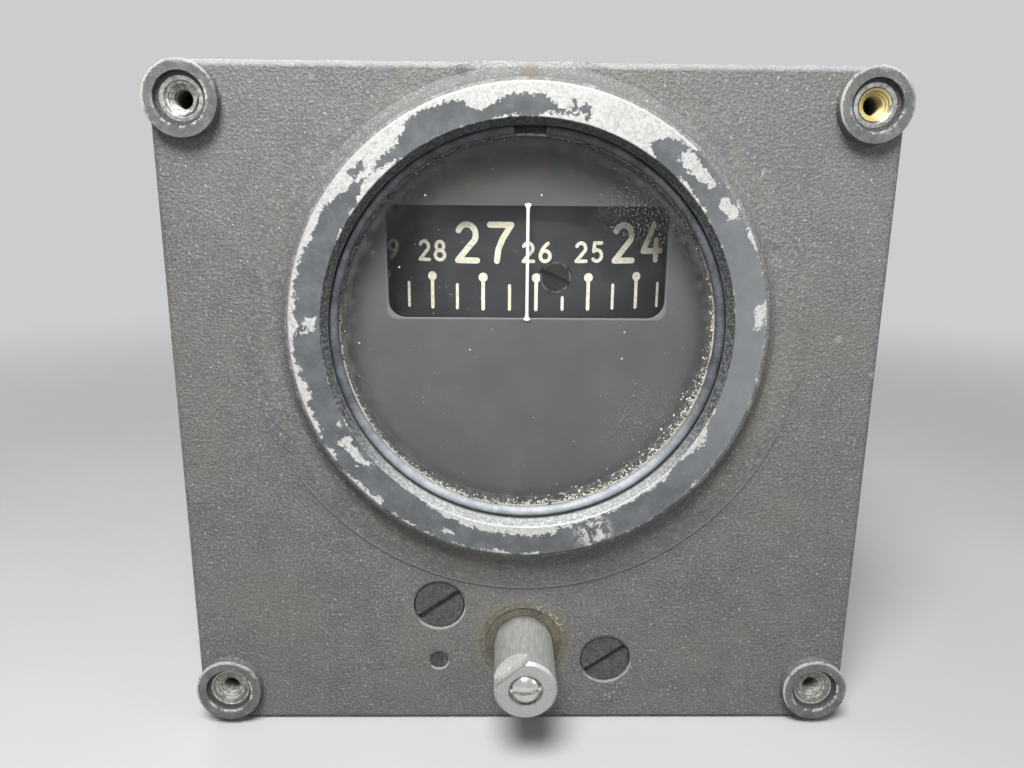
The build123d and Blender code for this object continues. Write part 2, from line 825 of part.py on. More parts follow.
with BuildPart() as shaft_end_screw:
    seat_y = end_bore_depth - shaft_proud
    dome_base_y = seat_y - end_screw_edge
    with BuildSketch(lengthwise(0, shaft_z)):
        with BuildLine():
            Line((0, seat_y + end_screw_reach), (end_screw_shank_r, seat_y + end_screw_reach))
            Line((end_screw_shank_r, seat_y + end_screw_reach), (end_screw_shank_r, seat_y))
            Line((end_screw_shank_r, seat_y), (end_screw_r, seat_y))
            Line((end_screw_r, seat_y), (end_screw_r, dome_base_y))
            ThreePointArc(
                (end_screw_r, dome_base_y),
                (end_screw_r * 0.6, dome_base_y - end_screw_dome * 0.72),
                (0, dome_base_y - end_screw_dome),
            )
            Line((0, dome_base_y - end_screw_dome), (0, seat_y + end_screw_reach))
        make_face()
    revolve(axis=shaft_axis)
    with BuildSketch(facing(dome_base_y)):
        with Locations(Location((0, shaft_z, 0), (0, 0, end_screw_slot_turn))):
            Rectangle(2 * end_screw_r + 1, end_screw_slot)
    extrude(amount=2 * end_screw_dome, mode=Mode.SUBTRACT)
shaft_end_screw.part.label = "shaft_end_screw"
export_step(shaft_end_screw.part, "parts/shaft_end_screw.step")

# Synchroniser pinion on the shaft's tail
with BuildPart() as sync_pinion:
    pinion_r = gear_module * pinion_teeth / 2
    pinion_root_r = pinion_r - gear_root_depth
    pinion_tip_r = pinion_r + gear_module
    with BuildSketch(facing(pinion_tooth_y)):
        with Locations((0, shaft_z)):
            Circle(pinion_root_r)
            with PolarLocations(0, pinion_teeth):
                Polygon(
                    (pinion_root_r - 0.4, -tooth_root),
                    (pinion_r, -tooth_pitch),
                    (pinion_tip_r, -pinion_tooth_tip),
                    (pinion_tip_r, pinion_tooth_tip),
                    (pinion_r, tooth_pitch),
                    (pinion_root_r - 0.4, tooth_root),
                    align=None,
                )
    extrude(amount=-pinion_face)
    with BuildSketch(facing(pinion_y)):
        with Locations((0, shaft_z)):
            Circle(pinion_hub_r)
    extrude(amount=-(pinion_tooth_y - pinion_y + 0.2))
    with BuildSketch(facing(pinion_y)):
        with Locations((0, shaft_z)):
            Circle(shaft_neck_r - 0.5 + seat_gap)
    extrude(amount=-(pinion_tooth_y - pinion_y + pinion_face + 1), mode=Mode.SUBTRACT)
sync_pinion.part.label = "sync_pinion"
export_step(sync_pinion.part, "parts/sync_pinion.step")

# Cam collar: slides with the shaft without turning, and its ramp pushes the rocker arm down
with BuildPart() as cam_collar:
    with BuildSketch(facing(collar_y)):
        with Locations((0, shaft_z)):
            RectangleRounded(2 * (rail_inner_x - slide_gap), 2 * collar_r, 2)
    extrude(amount=-collar_length)
    cam_low_z = cam_high_z - cam_drop * collar_length / knob_travel
    with BuildSketch(Plane.YZ):
        Polygon(
            (collar_y, shaft_z - collar_r / 2),
            (collar_y, cam_low_z),
            (collar_end_y, cam_high_z),
            (collar_end_y, shaft_z - collar_r / 2),
            align=None,
        )
    extrude(amount=cam_width / 2, both=True)
    with BuildSketch(facing(collar_y)):
        with Locations((0, shaft_z)):
            Circle(shaft_neck_r + running_gap)
    extrude(amount=-collar_length, mode=Mode.SUBTRACT)
cam_collar.part.label = "cam_collar"
export_step(cam_collar.part, "parts/cam_collar.step")

# Rocker arm: a pad under the cam at the front and a fork under the levelling sleeve at the back
with BuildPart() as rocker_arm:
    pad_top = cam_high_z - (collar_end_y - rocker_front_y) * cam_drop / knob_travel - cam_gap
    bar_top = pad_top - 0.6
    fork_top = sleeve_z - fork_pad_gap
    with BuildSketch(Plane.YZ):
        with Locations((rocker_pivot_y, rocker_pivot_z)):
            Circle(rocker_hub_r)
        Polygon(
            (rocker_front_y - rocker_pad_r - 0.5, bar_top),
            (rocker_front_y - rocker_pad_r - 0.5, bar_top - rocker_front_thickness),
            (rocker_pivot_y, rocker_pivot_z - rocker_front_thickness),
            (rocker_pivot_y, rocker_pivot_z + rocker_front_thickness),
            align=None,
        )
        with Locations((rocker_front_y, pad_top - rocker_pad_r)):
            Circle(rocker_pad_r)
        with Locations((rocker_pivot_y, rocker_pivot_z - rocker_rear_thickness / 2)):
            Rectangle(rocker_setback - fork_setback, rocker_rear_thickness, align=(Align.MIN, Align.MIN))
    extrude(amount=rocker_bar_width / 2, both=True)
    with BuildSketch(Plane((0, 0, rocker_pivot_z))):
        with Locations((0, gyro_y - fork_setback)):
            Rectangle(2 * (fork_inner_x + fork_width), 4, align=(Align.CENTER, Align.MAX))
        for side in (-1, 1):
            with Locations((side * (fork_inner_x + fork_width / 2), gyro_y - fork_setback)):
                Rectangle(fork_width, fork_setback + fork_reach, align=(Align.CENTER, Align.MIN))
    extrude(amount=rocker_rear_thickness / 2, both=True)
    with BuildSketch(Plane((0, 0, rocker_pivot_z))):
        with Locations(*[(side * (fork_inner_x + 1.5), gyro_y) for side in (-1, 1)]):
            Rectangle(fork_pad_width, fork_pad_length)
    extrude(amount=fork_top - rocker_pivot_z)
    with BuildSketch(Plane.YZ):
        with Locations((rocker_pivot_y, rocker_pivot_z)):
            Circle(rocker_pin_r + running_gap)
    extrude(amount=bracket_width, both=True, mode=Mode.SUBTRACT)
rocker_arm.part.label = "rocker_arm"
export_step(rocker_arm.part, "parts/rocker_arm.step")

with BuildPart() as rocker_pin:
    with BuildSketch(Plane.YZ):
        with Locations((rocker_pivot_y, rocker_pivot_z)):
            Circle(rocker_pin_r)
    extrude(amount=rail_inner_x + rail_thickness + 0.5, both=True)
rocker_pin.part.label = "rocker_pin"
export_step(rocker_pin.part, "parts/rocker_pin.step")

# Vertical gimbal: an upright frame with a hub at the top and bottom
with BuildPart() as vertical_gimbal:
    with BuildSketch(upright()):
        RectangleRounded(2 * frame_outer_x, 2 * frame_outer_z, frame_outer_r)
        RectangleRounded(2 * frame_half_x, 2 * frame_half_z, frame_inner_r, mode=Mode.SUBTRACT)
    extrude(amount=frame_thickness / 2, both=True)
    with BuildSketch(level(frame_half_z + frame_bar / 2)):
        Circle(top_hub_r)
    extrude(amount=top_hub_z - frame_half_z - frame_bar / 2)
    with BuildSketch(level(bottom_hub_z)):
        Circle(bottom_hub_r)
    extrude(amount=-bottom_hub_z - frame_half_z - frame_bar / 2)
    # Pivot bores, tilt bearing bores, and the holes for the gear and carrier screws
    with BuildSketch(level(top_hub_z)):
        Circle(pivot_r + seat_gap)
    extrude(amount=-pivot_bore, mode=Mode.SUBTRACT)
    with BuildSketch(level(bottom_hub_z)):
        Circle(pivot_r + seat_gap)
    extrude(amount=pivot_bore, mode=Mode.SUBTRACT)
    with BuildSketch(level(bottom_hub_z)):
        Circle(air_bore_r)
    extrude(amount=-bottom_hub_z - frame_outer_z + frame_bar / 2, mode=Mode.SUBTRACT)
    with BuildSketch(level(-frame_outer_z)):
        with Locations((-gear_screw_x, 0), (gear_screw_x, 0)):
            Circle(gear_screw_r + thread_gap)
    extrude(amount=gear_screw_reach + 0.5, mode=Mode.SUBTRACT)
    for side in (-1, 1):
        with BuildSketch(Plane.YZ.offset(side * frame_outer_x)):
            with Locations((gyro_y, 0)):
                Circle(tilt_bearing_r + seat_gap)
        extrude(amount=-side * (frame_outer_x - tilt_bearing_x), mode=Mode.SUBTRACT)
        with BuildSketch(Plane.YZ.offset(side * frame_outer_x)):
            with Locations((gyro_y, 0)):
                Circle(tilt_bearing_r - 1)
        extrude(amount=-side * (frame_side + 1), mode=Mode.SUBTRACT)
        with BuildSketch(Plane.YZ.offset(side * frame_outer_x)):
            with Locations((gyro_y, carrier_screw_z)):
                Circle(carrier_screw_r + thread_gap)
        extrude(amount=-side * (frame_outer_x - carrier_screw_reach + 0.2), mode=Mode.SUBTRACT)
vertical_gimbal.part.label = "vertical_gimbal"
export_step(vertical_gimbal.part, "parts/vertical_gimbal.step")

with BuildPart() as top_pivot:
    with BuildSketch(level(top_hub_z - pivot_seat)):
        Circle(pivot_r)
    extrude(amount=top_bearing_z + main_bearing_height + 0.5 - top_hub_z + pivot_seat)
top_pivot.part.label = "top_pivot"
export_step(top_pivot.part, "parts/top_pivot.step")

# The bottom pivot is hollow: the driving air comes up through it
with BuildPart() as bottom_pivot:
    with BuildSketch(level(bottom_bearing_z - 0.5)):
        Circle(pivot_r)
        Circle(air_bore_r, mode=Mode.SUBTRACT)
    extrude(amount=bottom_hub_z + pivot_seat - bottom_bearing_z + 0.5)
bottom_pivot.part.label = "bottom_pivot"
export_step(bottom_pivot.part, "parts/bottom_pivot.step")

# Top and bottom bearings, seen as shielded rings
for name, z in (("top_bearing", top_bearing_z), ("bottom_bearing", bottom_bearing_z)):
    with BuildPart() as bearing:
        with BuildSketch(upright()):
            Polygon(
                (pivot_r + running_gap, z + 0.3),
                (pivot_r + 1.2, z + 0.3),
                (pivot_r + 1.2, z),
                (main_bearing_r - seat_gap, z),
                (main_bearing_r - seat_gap, z + main_bearing_height),
                (pivot_r + 1.2, z + main_bearing_height),
                (pivot_r + 1.2, z + main_bearing_height - 0.3),
                (pivot_r + running_gap, z + main_bearing_height - 0.3),
                align=None,
            )
        revolve(axis=gyro_vertical)
    bearing.part.label = name
    export_step(bearing.part, "parts/" + name + ".step")

# Top bearing housing, screwed through the case and locked by a ring outside
with BuildPart() as top_bearing_housing:
    housing_top = case_top + lock_ring_height + 0.2
    with BuildSketch(level(top_housing_z)):
        Circle(top_housing_r - seat_gap)
    extrude(amount=housing_top - top_housing_z)
    with BuildSketch(level(top_housing_z)):
        Circle(main_bearing_r)
    extrude(amount=top_bearing_z + main_bearing_height - top_housing_z, mode=Mode.SUBTRACT)
    with BuildSketch(level(top_housing_z)):
        Circle(pivot_r + 0.8)
    extrude(amount=top_bearing_z + main_bearing_height + 1 - top_housing_z, mode=Mode.SUBTRACT)
    with BuildSketch(level(housing_top)):
        Rectangle(3 * top_housing_r, 1.6)
    extrude(amount=-1.5, mode=Mode.SUBTRACT)
top_bearing_housing.part.label = "top_bearing_housing"
export_step(top_bearing_housing.part, "parts/top_bearing_housing.step")

with BuildPart() as top_lock_ring:
    with BuildSketch(level(case_top)):
        RegularPolygon(lock_ring_r, 6)
        Circle(top_housing_r + thread_gap, mode=Mode.SUBTRACT)
    extrude(amount=lock_ring_height)
top_lock_ring.part.label = "top_lock_ring"
export_step(top_lock_ring.part, "parts/top_lock_ring.step")

# Bottom bearing housing: a flanged plug from below, with the air port at its back
with BuildPart() as bottom_bearing_housing:
    with BuildSketch(upright()):
        Polygon(
            (0, case_bottom - bottom_flange),
            (bottom_flange_r, case_bottom - bottom_flange),
            (bottom_flange_r, case_bottom),
            (bottom_housing_r - seat_gap, case_bottom),
            (bottom_housing_r - seat_gap, bottom_housing_top),
            (main_bearing_r, bottom_housing_top),
            (main_bearing_r, bottom_bearing_z),
            (pivot_r + 1.2, bottom_bearing_z),
            (pivot_r + 1.2, tube_z - tube_r),
            (0, tube_z - tube_r),
            align=None,
        )
    revolve(axis=gyro_vertical)
    with BuildSketch(upright()):
        with Locations((0, tube_z)):
            Circle(tube_bore_r)
    extrude(amount=-(bottom_housing_r + 1), mode=Mode.SUBTRACT)
    with BuildSketch(level(case_bottom - bottom_flange)):
        with PolarLocations(bottom_screw_circle_r, 3, start_angle=90):
            Circle(bottom_screw_r + slide_gap)
    extrude(amount=bottom_flange, mode=Mode.SUBTRACT)
bottom_bearing_housing.part.label = "bottom_bearing_housing"
export_step(bottom_bearing_housing.part, "parts/bottom_bearing_housing.step")

with BuildPart() as bottom_housing_screws:
    with BuildSketch(level(case_bottom - bottom_flange)):
        with PolarLocations(bottom_screw_circle_r, 3, start_angle=90):
            Circle(bottom_screw_r)
    extrude(amount=bottom_flange + case_wall - 0.3)
    with BuildSketch(level(case_bottom - bottom_flange)):
        with PolarLocations(bottom_screw_circle_r, 3, start_angle=90):
            Circle(bottom_screw_r + 0.7)
    extrude(amount=-0.5)
bottom_housing_screws.part.label = "bottom_housing_screws"
export_step(bottom_housing_screws.part, "parts/bottom_housing_screws.step")

# Air tube from the filter chamber to the bottom bearing housing
with BuildPart() as air_tube:
    tube_start = gyro_y + bottom_housing_r
    with BuildSketch(facing(tube_start)):
        with Locations((0, tube_z)):
            Circle(tube_r)
            Circle(tube_bore_r, mode=Mode.SUBTRACT)
    extrude(amount=-(cup_y + cup_floor - tube_start))
air_tube.part.label = "air_tube"
export_step(air_tube.part, "parts/air_tube.step")

# Card carrier: a ring inside the card with an arm to each side of the vertical gimbal
with BuildPart() as card_carrier:
    with BuildSketch(level(carrier_bottom)):
        Circle(carrier_r)
        Circle(carrier_inner_r, mode=Mode.SUBTRACT)
        with Locations((-frame_outer_x, 0)):
            Rectangle(carrier_r - frame_outer_x - 1, carrier_arm_width, align=(Align.MAX, Align.CENTER))
        with Locations((frame_outer_x, 0)):
            Rectangle(carrier_r - frame_outer_x - 1, carrier_arm_width, align=(Align.MIN, Align.CENTER))
    extrude(amount=carrier_top - carrier_bottom)
    head_x = carrier_r - 0.5 - carrier_screw_head
    for side in (-1, 1):
        with BuildSketch(Plane.YZ.offset(side * (carrier_r + 1))):
            with Locations((gyro_y, carrier_screw_z)):
                Circle(carrier_screw_head_r + slide_gap)
        extrude(amount=-side * (carrier_r + 1 - head_x), mode=Mode.SUBTRACT)
        with BuildSketch(Plane.YZ.offset(side * (carrier_r + 1))):
            with Locations((gyro_y, carrier_screw_z)):
                Circle(carrier_screw_r + slide_gap)
        extrude(amount=-side * carrier_r, mode=Mode.SUBTRACT)
    for i in range(card_screw_count):
        with BuildSketch(card_screw_plane(i, carrier_inner_r - 1)):
            Circle(card_screw_r + thread_gap)
        extrude(amount=carrier_depth + 2, mode=Mode.SUBTRACT)
card_carrier.part.label = "card_carrier"
export_step(card_carrier.part, "parts/card_carrier.step")

with BuildPart() as carrier_screws:
    for side in (-1, 1):
        with BuildSketch(Plane.YZ.offset(side * head_x)):
            with Locations((gyro_y, carrier_screw_z)):
                Circle(carrier_screw_head_r)
        extrude(amount=side * carrier_screw_head)
        with BuildSketch(Plane.YZ.offset(side * head_x)):
            with Locations((gyro_y, carrier_screw_z)):
                Circle(carrier_screw_r)
        extrude(amount=-side * (head_x - carrier_screw_reach))
carrier_screws.part.label = "carrier_screws"
export_step(carrier_screws.part, "parts/carrier_screws.step")

# Card drum, whose outside carries the heading numbers
with BuildPart() as card_drum:
    with BuildSketch(level(card_bottom)):
        Circle(card_r)
        Circle(card_inner_r, mode=Mode.SUBTRACT)
    extrude(amount=card_top - card_bottom)
    for i in range(card_screw_count):
        with BuildSketch(card_screw_plane(i, card_inner_r - 2)):
            Circle(card_screw_head_r + slide_gap)
        extrude(amount=card_wall + 4, mode=Mode.SUBTRACT)
card_drum.part.label = "card_drum"
export_step(card_drum.part, "parts/card_drum.step")

with BuildPart() as card_screws:
    for i in range(card_screw_count):
        with BuildSketch(card_screw_plane(i, carrier_r)):
            Circle(card_screw_head_r)
        extrude(amount=card_r - carrier_r + card_screw_proud)
        with BuildSketch(card_screw_plane(i, carrier_r)):
            Circle(card_screw_r)
        extrude(amount=-card_screw_reach)
        with BuildSketch(card_screw_plane(i, card_r + card_screw_proud)):
            with Locations(Location((0, 0, 0), (0, 0, card_screw_slot_turn))):
                Rectangle(3 * card_screw_head_r, card_screw_slot)
        extrude(amount=-card_screw_slot_depth, mode=Mode.SUBTRACT)
card_screws.part.label = "card_screws"
export_step(card_screws.part, "parts/card_screws.step")

# Synchroniser gear: a crown gear under the vertical gimbal, with its teeth pointing down
with BuildPart() as crown_tooth:
    with BuildSketch(Plane.XZ.offset(-(gear_r - gear_face / 2))):
        Polygon(
            (-tooth_root, gear_root_z + 0.3),
            (tooth_root, gear_root_z + 0.3),
            (tooth_root, gear_root_z),
            (tooth_pitch, pitch_z),
            (gear_tooth_tip, pitch_z - gear_tip_height),
            (-gear_tooth_tip, pitch_z - gear_tip_height),
            (-tooth_pitch, pitch_z),
            (-tooth_root, gear_root_z),
            align=None,
        )
    extrude(amount=-gear_face)

with BuildPart() as synchronizer_gear:
    with BuildSketch(level(gear_web_top)):
        Circle(gear_outer_r)
        Circle(bottom_hub_r + slide_gap, mode=Mode.SUBTRACT)
        with PolarLocations(gear_window_circle_r, 4, start_angle=gear_window_turn):
            Circle(gear_window_r, mode=Mode.SUBTRACT)
        with Locations((0, -rod_offset), (0, rod_offset)):
            Circle(rod_r + 0.6, mode=Mode.SUBTRACT)
        with Locations((-gear_screw_x, 0), (gear_screw_x, 0)):
            Circle(gear_screw_r + slide_gap, mode=Mode.SUBTRACT)
    extrude(amount=-gear_web)
    with BuildSketch(level(gear_web_top)):
        Circle(gear_outer_r)
        Circle(gear_outer_r - gear_face, mode=Mode.SUBTRACT)
    extrude(amount=gear_root_z - gear_web_top)
    with Locations((0, gyro_y, 0)):
        with PolarLocations(0, gear_teeth, start_angle=180 / gear_teeth):
            add(crown_tooth.part)
synchronizer_gear.part.label = "synchronizer_gear"
export_step(synchronizer_gear.part, "parts/synchronizer_gear.step")

with BuildPart() as gear_screws:
    with BuildSketch(level(gear_web_top - gear_web)):
        with Locations((-gear_screw_x, 0), (gear_screw_x, 0)):
            Circle(gear_screw_head_r)
    extrude(amount=-gear_screw_head)
    with BuildSketch(level(gear_web_top - gear_web)):
        with Locations((-gear_screw_x, 0), (gear_screw_x, 0)):
            Circle(gear_screw_r)
    extrude(amount=gear_web + gear_screw_reach)
gear_screws.part.label = "gear_screws"
export_step(gear_screws.part, "parts/gear_screws.step")

# Levelling sleeve, which the fork lifts, with its two push rods
with BuildPart() as levelling_sleeve:
    with BuildSketch(level(sleeve_z)):
        Circle(sleeve_r)
        Circle(bottom_hub_r + sleeve_gap, mode=Mode.SUBTRACT)
    extrude(amount=sleeve_height)
levelling_sleeve.part.label = "levelling_sleeve"
export_step(levelling_sleeve.part, "parts/levelling_sleeve.step")

with BuildPart() as levelling_rods:
    with BuildSketch(level(sleeve_z + sleeve_height)):
        with Locations((0, -rod_offset), (0, rod_offset)):
            Circle(rod_r)
    extrude(amount=arm_z - sleeve_z - sleeve_height)
levelling_rods.part.label = "levelling_rods"
export_step(levelling_rods.part, "parts/levelling_rods.step")

# Levelling ring on its two arms, round the rotor gimbal
with BuildPart() as levelling_ring:
    with BuildSketch(level(level_ring_top - level_ring_height)):
        Circle(level_ring_outer_r)
        Circle(level_ring_inner_r, mode=Mode.SUBTRACT)
    extrude(amount=level_ring_height)
    for side in (-1, 1):
        with BuildSketch(level(arm_z)):
            with Locations((0, side * (rod_offset - 2))):
                Rectangle(arm_width, level_ring_outer_r - 0.4 - rod_offset + 2,
                          align=(Align.CENTER, Align.MIN if side > 0 else Align.MAX))
        extrude(amount=arm_thickness)
        with BuildSketch(level(arm_z)):
            with Locations((0, side * (level_ring_inner_r + 0.2))):
                Rectangle(arm_width, level_ring_outer_r - level_ring_inner_r - 0.6,
                          align=(Align.CENTER, Align.MIN if side > 0 else Align.MAX))
        extrude(amount=level_ring_top - arm_z - level_ring_height / 2)
levelling_ring.part.label = "levelling_ring"
export_step(levelling_ring.part, "parts/levelling_ring.step")

# Tilt bearings and caps in the sides of the vertical gimbal
with BuildPart() as tilt_bearings:
    for side in (-1, 1):
        with BuildSketch(Plane.YZ.offset(side * tilt_bearing_x)):
            with Locations((gyro_y, 0)):
                Circle(tilt_bearing_r)
                Circle(tilt_pivot_r + running_gap, mode=Mode.SUBTRACT)
        extrude(amount=side * tilt_bearing_width)
tilt_bearings.part.label = "tilt_bearings"
export_step(tilt_bearings.part, "parts/tilt_bearings.step")

with BuildPart() as tilt_bearing_caps:
    for side in (-1, 1):
        with BuildSketch(Plane.YZ.offset(side * (tilt_bearing_x + tilt_bearing_width))):
            with Locations((gyro_y, 0)):
                Circle(tilt_bearing_r)
        extrude(amount=side * (frame_outer_x - tilt_bearing_x - tilt_bearing_width))
        with BuildSketch(Plane.YZ.offset(side * frame_outer_x)):
            with Locations((gyro_y, 0)):
                Circle(tilt_cap_r)
        extrude(amount=side * tilt_cap)
tilt_bearing_caps.part.label = "tilt_bearing_caps"
export_step(tilt_bearing_caps.part, "parts/tilt_bearing_caps.step")

# Rotor gimbal
with BuildPart() as rotor_gimbal:
    cradle_x = cradle_inner_x + cradle_wall
    cradle_y = cradle_inner_y + cradle_wall
    with BuildSketch(level(0)):
        RectangleRounded(2 * cradle_x, 2 * cradle_y, cradle_corner_r + 2)
        RectangleRounded(2 * cradle_inner_x, 2 * cradle_inner_y, cradle_corner_r, mode=Mode.SUBTRACT)
    extrude(amount=cradle_half_z, both=True)
    for side in (-1, 1):
        with BuildSketch(Plane.YZ.offset(side * (cradle_x - 1))):
            with Locations((gyro_y, 0)):
                Circle(tilt_boss_r)
        extrude(amount=side * (tilt_boss + 1))
        with BuildSketch(facing(gyro_y + side * (cradle_y - 1))):
            Circle(spin_boss_r)
        extrude(amount=-side * (spin_boss_y - cradle_y + 1))
    # Bores for the tilt pivots, the rotor bearings and the balance studs
    with BuildSketch(Plane.YZ):
        with Locations((gyro_y, 0)):
            Circle(tilt_pivot_r + seat_gap)
    extrude(amount=cradle_x + tilt_boss + 1, both=True, mode=Mode.SUBTRACT)
    for side in (-1, 1):
        with BuildSketch(facing(gyro_y + side * spin_boss_y)):
            Circle(spin_bearing_r + seat_gap)
        extrude(amount=side * spin_bearing_width, mode=Mode.SUBTRACT)
        with BuildSketch(facing(gyro_y + side * spin_boss_y)):
            Circle(rotor_shaft_r + 0.6)
        extrude(amount=side * (spin_boss_y - cradle_inner_y + 1), mode=Mode.SUBTRACT)
        with BuildSketch(facing(gyro_y + side * cradle_y)):
            with Locations((-balance_x, 0), (balance_x, 0)):
                Circle(balance_stud_r + thread_gap)
        extrude(amount=side * 3, mode=Mode.SUBTRACT)
rotor_gimbal.part.label = "rotor_gimbal"
export_step(rotor_gimbal.part, "parts/rotor_gimbal.step")

with BuildPart() as tilt_pivots:
    for side in (-1, 1):
        with BuildSketch(Plane.YZ.offset(side * (cradle_inner_x + 0.5))):
            with Locations((gyro_y, 0)):
                Circle(tilt_pivot_r)
        extrude(amount=side * (tilt_bearing_x + tilt_bearing_width - 0.5 - cradle_inner_x - 0.5))
tilt_pivots.part.label = "tilt_pivots"
export_step(tilt_pivots.part, "parts/tilt_pivots.step")

with BuildPart() as rotor_bearings:
    for side in (-1, 1):
        inner_y = gyro_y + side * (spin_boss_y - spin_bearing_width)
        with BuildSketch(facing(inner_y)):
            Circle(spin_bearing_r)
            Circle(journal_r + running_gap, mode=Mode.SUBTRACT)
        extrude(amount=-side * spin_bearing_width)
rotor_bearings.part.label = "rotor_bearings"
export_step(rotor_bearings.part, "parts/rotor_bearings.step")

with BuildPart() as rotor_bearing_caps:
    for side in (-1, 1):
        with BuildSketch(facing(gyro_y + side * spin_boss_y)):
            Circle(spin_boss_r)
        extrude(amount=-side * spin_cap)
        with BuildSketch(facing(gyro_y + side * (spin_boss_y + spin_cap))):
            Rectangle(2 * spin_boss_r + 1, 1)
        extrude(amount=side * spin_cap / 2, mode=Mode.SUBTRACT)
rotor_bearing_caps.part.label = "rotor_bearing_caps"
export_step(rotor_bearing_caps.part, "parts/rotor_bearing_caps.step")

# Balance studs and nuts on the rotor gimbal
with BuildPart() as balance_nuts:
    for side in (-1, 1):
        with BuildSketch(facing(gyro_y + side * (cradle_y - 2.8))):
            with Locations((-balance_x, 0), (balance_x, 0)):
                Circle(balance_stud_r)
        extrude(amount=-side * (balance_reach + 2.8))
        with BuildSketch(facing(gyro_y + side * (cradle_y + 0.6))):
            with Locations((-balance_x, 0), (balance_x, 0)):
                RegularPolygon(balance_nut_r, 6)
        extrude(amount=-side * balance_nut)
balance_nuts.part.label = "balance_nuts"
export_step(balance_nuts.part, "parts/balance_nuts.step")

# Rotor: a heavy rim on a thin web, with buckets that the air jets drive
with BuildPart() as rotor:
    with BuildSketch(lengthwise(0, 0)):
        half = rotor_width / 2
        Polygon(
            (rotor_shaft_r, gyro_y - rotor_hub_width / 2),
            (rotor_hub_r, gyro_y - rotor_hub_width / 2),
            (rotor_hub_r + 1, gyro_y - rotor_web / 2),
            (rotor_r - rotor_rim - 1, gyro_y - rotor_web / 2),
            (rotor_r - rotor_rim, gyro_y - half),
            (rotor_r, gyro_y - half),
            (rotor_r, gyro_y + half),
            (rotor_r - rotor_rim, gyro_y + half),
            (rotor_r - rotor_rim - 1, gyro_y + rotor_web / 2),
            (rotor_hub_r + 1, gyro_y + rotor_web / 2),
            (rotor_hub_r, gyro_y + rotor_hub_width / 2),
            (rotor_shaft_r, gyro_y + rotor_hub_width / 2),
            align=None,
        )
    revolve(axis=gyro_spin)
    bucket_pitch = 2 * math.pi * rotor_r / bucket_count
    with BuildSketch(facing(gyro_y)):
        with PolarLocations(0, bucket_count):
            with BuildLine():
                Line((rotor_r + 1, 0), (rotor_r - bucket_depth, 0))
                ThreePointArc(
                    (rotor_r - bucket_depth, 0),
                    (rotor_r - bucket_depth * 0.75, bucket_pitch * 0.45),
                    (rotor_r + 1, bucket_pitch * 0.8),
                )
                Line((rotor_r + 1, bucket_pitch * 0.8), (rotor_r + 1, 0))
            make_face()
    extrude(amount=bucket_width / 2, both=True, mode=Mode.SUBTRACT)
rotor.part.label = "rotor"
export_step(rotor.part, "parts/rotor.step")

with BuildPart() as rotor_shaft:
    shoulder = spin_boss_y - spin_bearing_width - 0.3
    with BuildSketch(lengthwise(0, 0)):
        Polygon(
            (0, gyro_y - journal_end),
            (journal_r, gyro_y - journal_end),
            (journal_r, gyro_y - shoulder),
            (rotor_shaft_r, gyro_y - shoulder),
            (rotor_shaft_r, gyro_y + shoulder),
            (journal_r, gyro_y + shoulder),
            (journal_r, gyro_y + journal_end),
            (0, gyro_y + journal_end),
            align=None,
        )
    revolve(axis=gyro_spin)
rotor_shaft.part.label = "rotor_shaft"
export_step(rotor_shaft.part, "parts/rotor_shaft.step")

# Air nozzles: one on the lower bar and one on the upper bar, aimed along the rotor's rim
with BuildPart() as air_nozzles:
    run = math.hypot(nozzle_end_x - nozzle_start_x, nozzle_start_z - nozzle_end_z)
    for side in (-1, 1):
        start = (side * nozzle_start_x, gyro_y, side * nozzle_start_z)
        aim = (side * (nozzle_end_x - nozzle_start_x), 0, -side * (nozzle_start_z - nozzle_end_z))
        with BuildSketch(Plane(start, x_dir=(0, 1, 0), z_dir=aim)):
            Circle(nozzle_r)
        extrude(amount=run - nozzle_tip)
        with BuildSketch(Plane(start, x_dir=(0, 1, 0), z_dir=aim).offset(run - nozzle_tip)):
            Circle(nozzle_r)
        extrude(amount=nozzle_tip, taper=math.degrees(math.atan((nozzle_r - nozzle_tip_r) / nozzle_tip)))
        with BuildSketch(Plane(start, x_dir=(0, 1, 0), z_dir=aim)):
            Circle(nozzle_bore_r)
        extrude(amount=run + 1, mode=Mode.SUBTRACT)
    # The nozzles are cut off flush where they are brazed to the frame's bars
    with BuildSketch(upright()):
        Rectangle(2 * frame_half_x, 2 * frame_half_z)
    extrude(amount=frame_thickness / 2, both=True, mode=Mode.INTERSECT)
air_nozzles.part.label = "air_nozzles"
export_step(air_nozzles.part, "parts/air_nozzles.step")

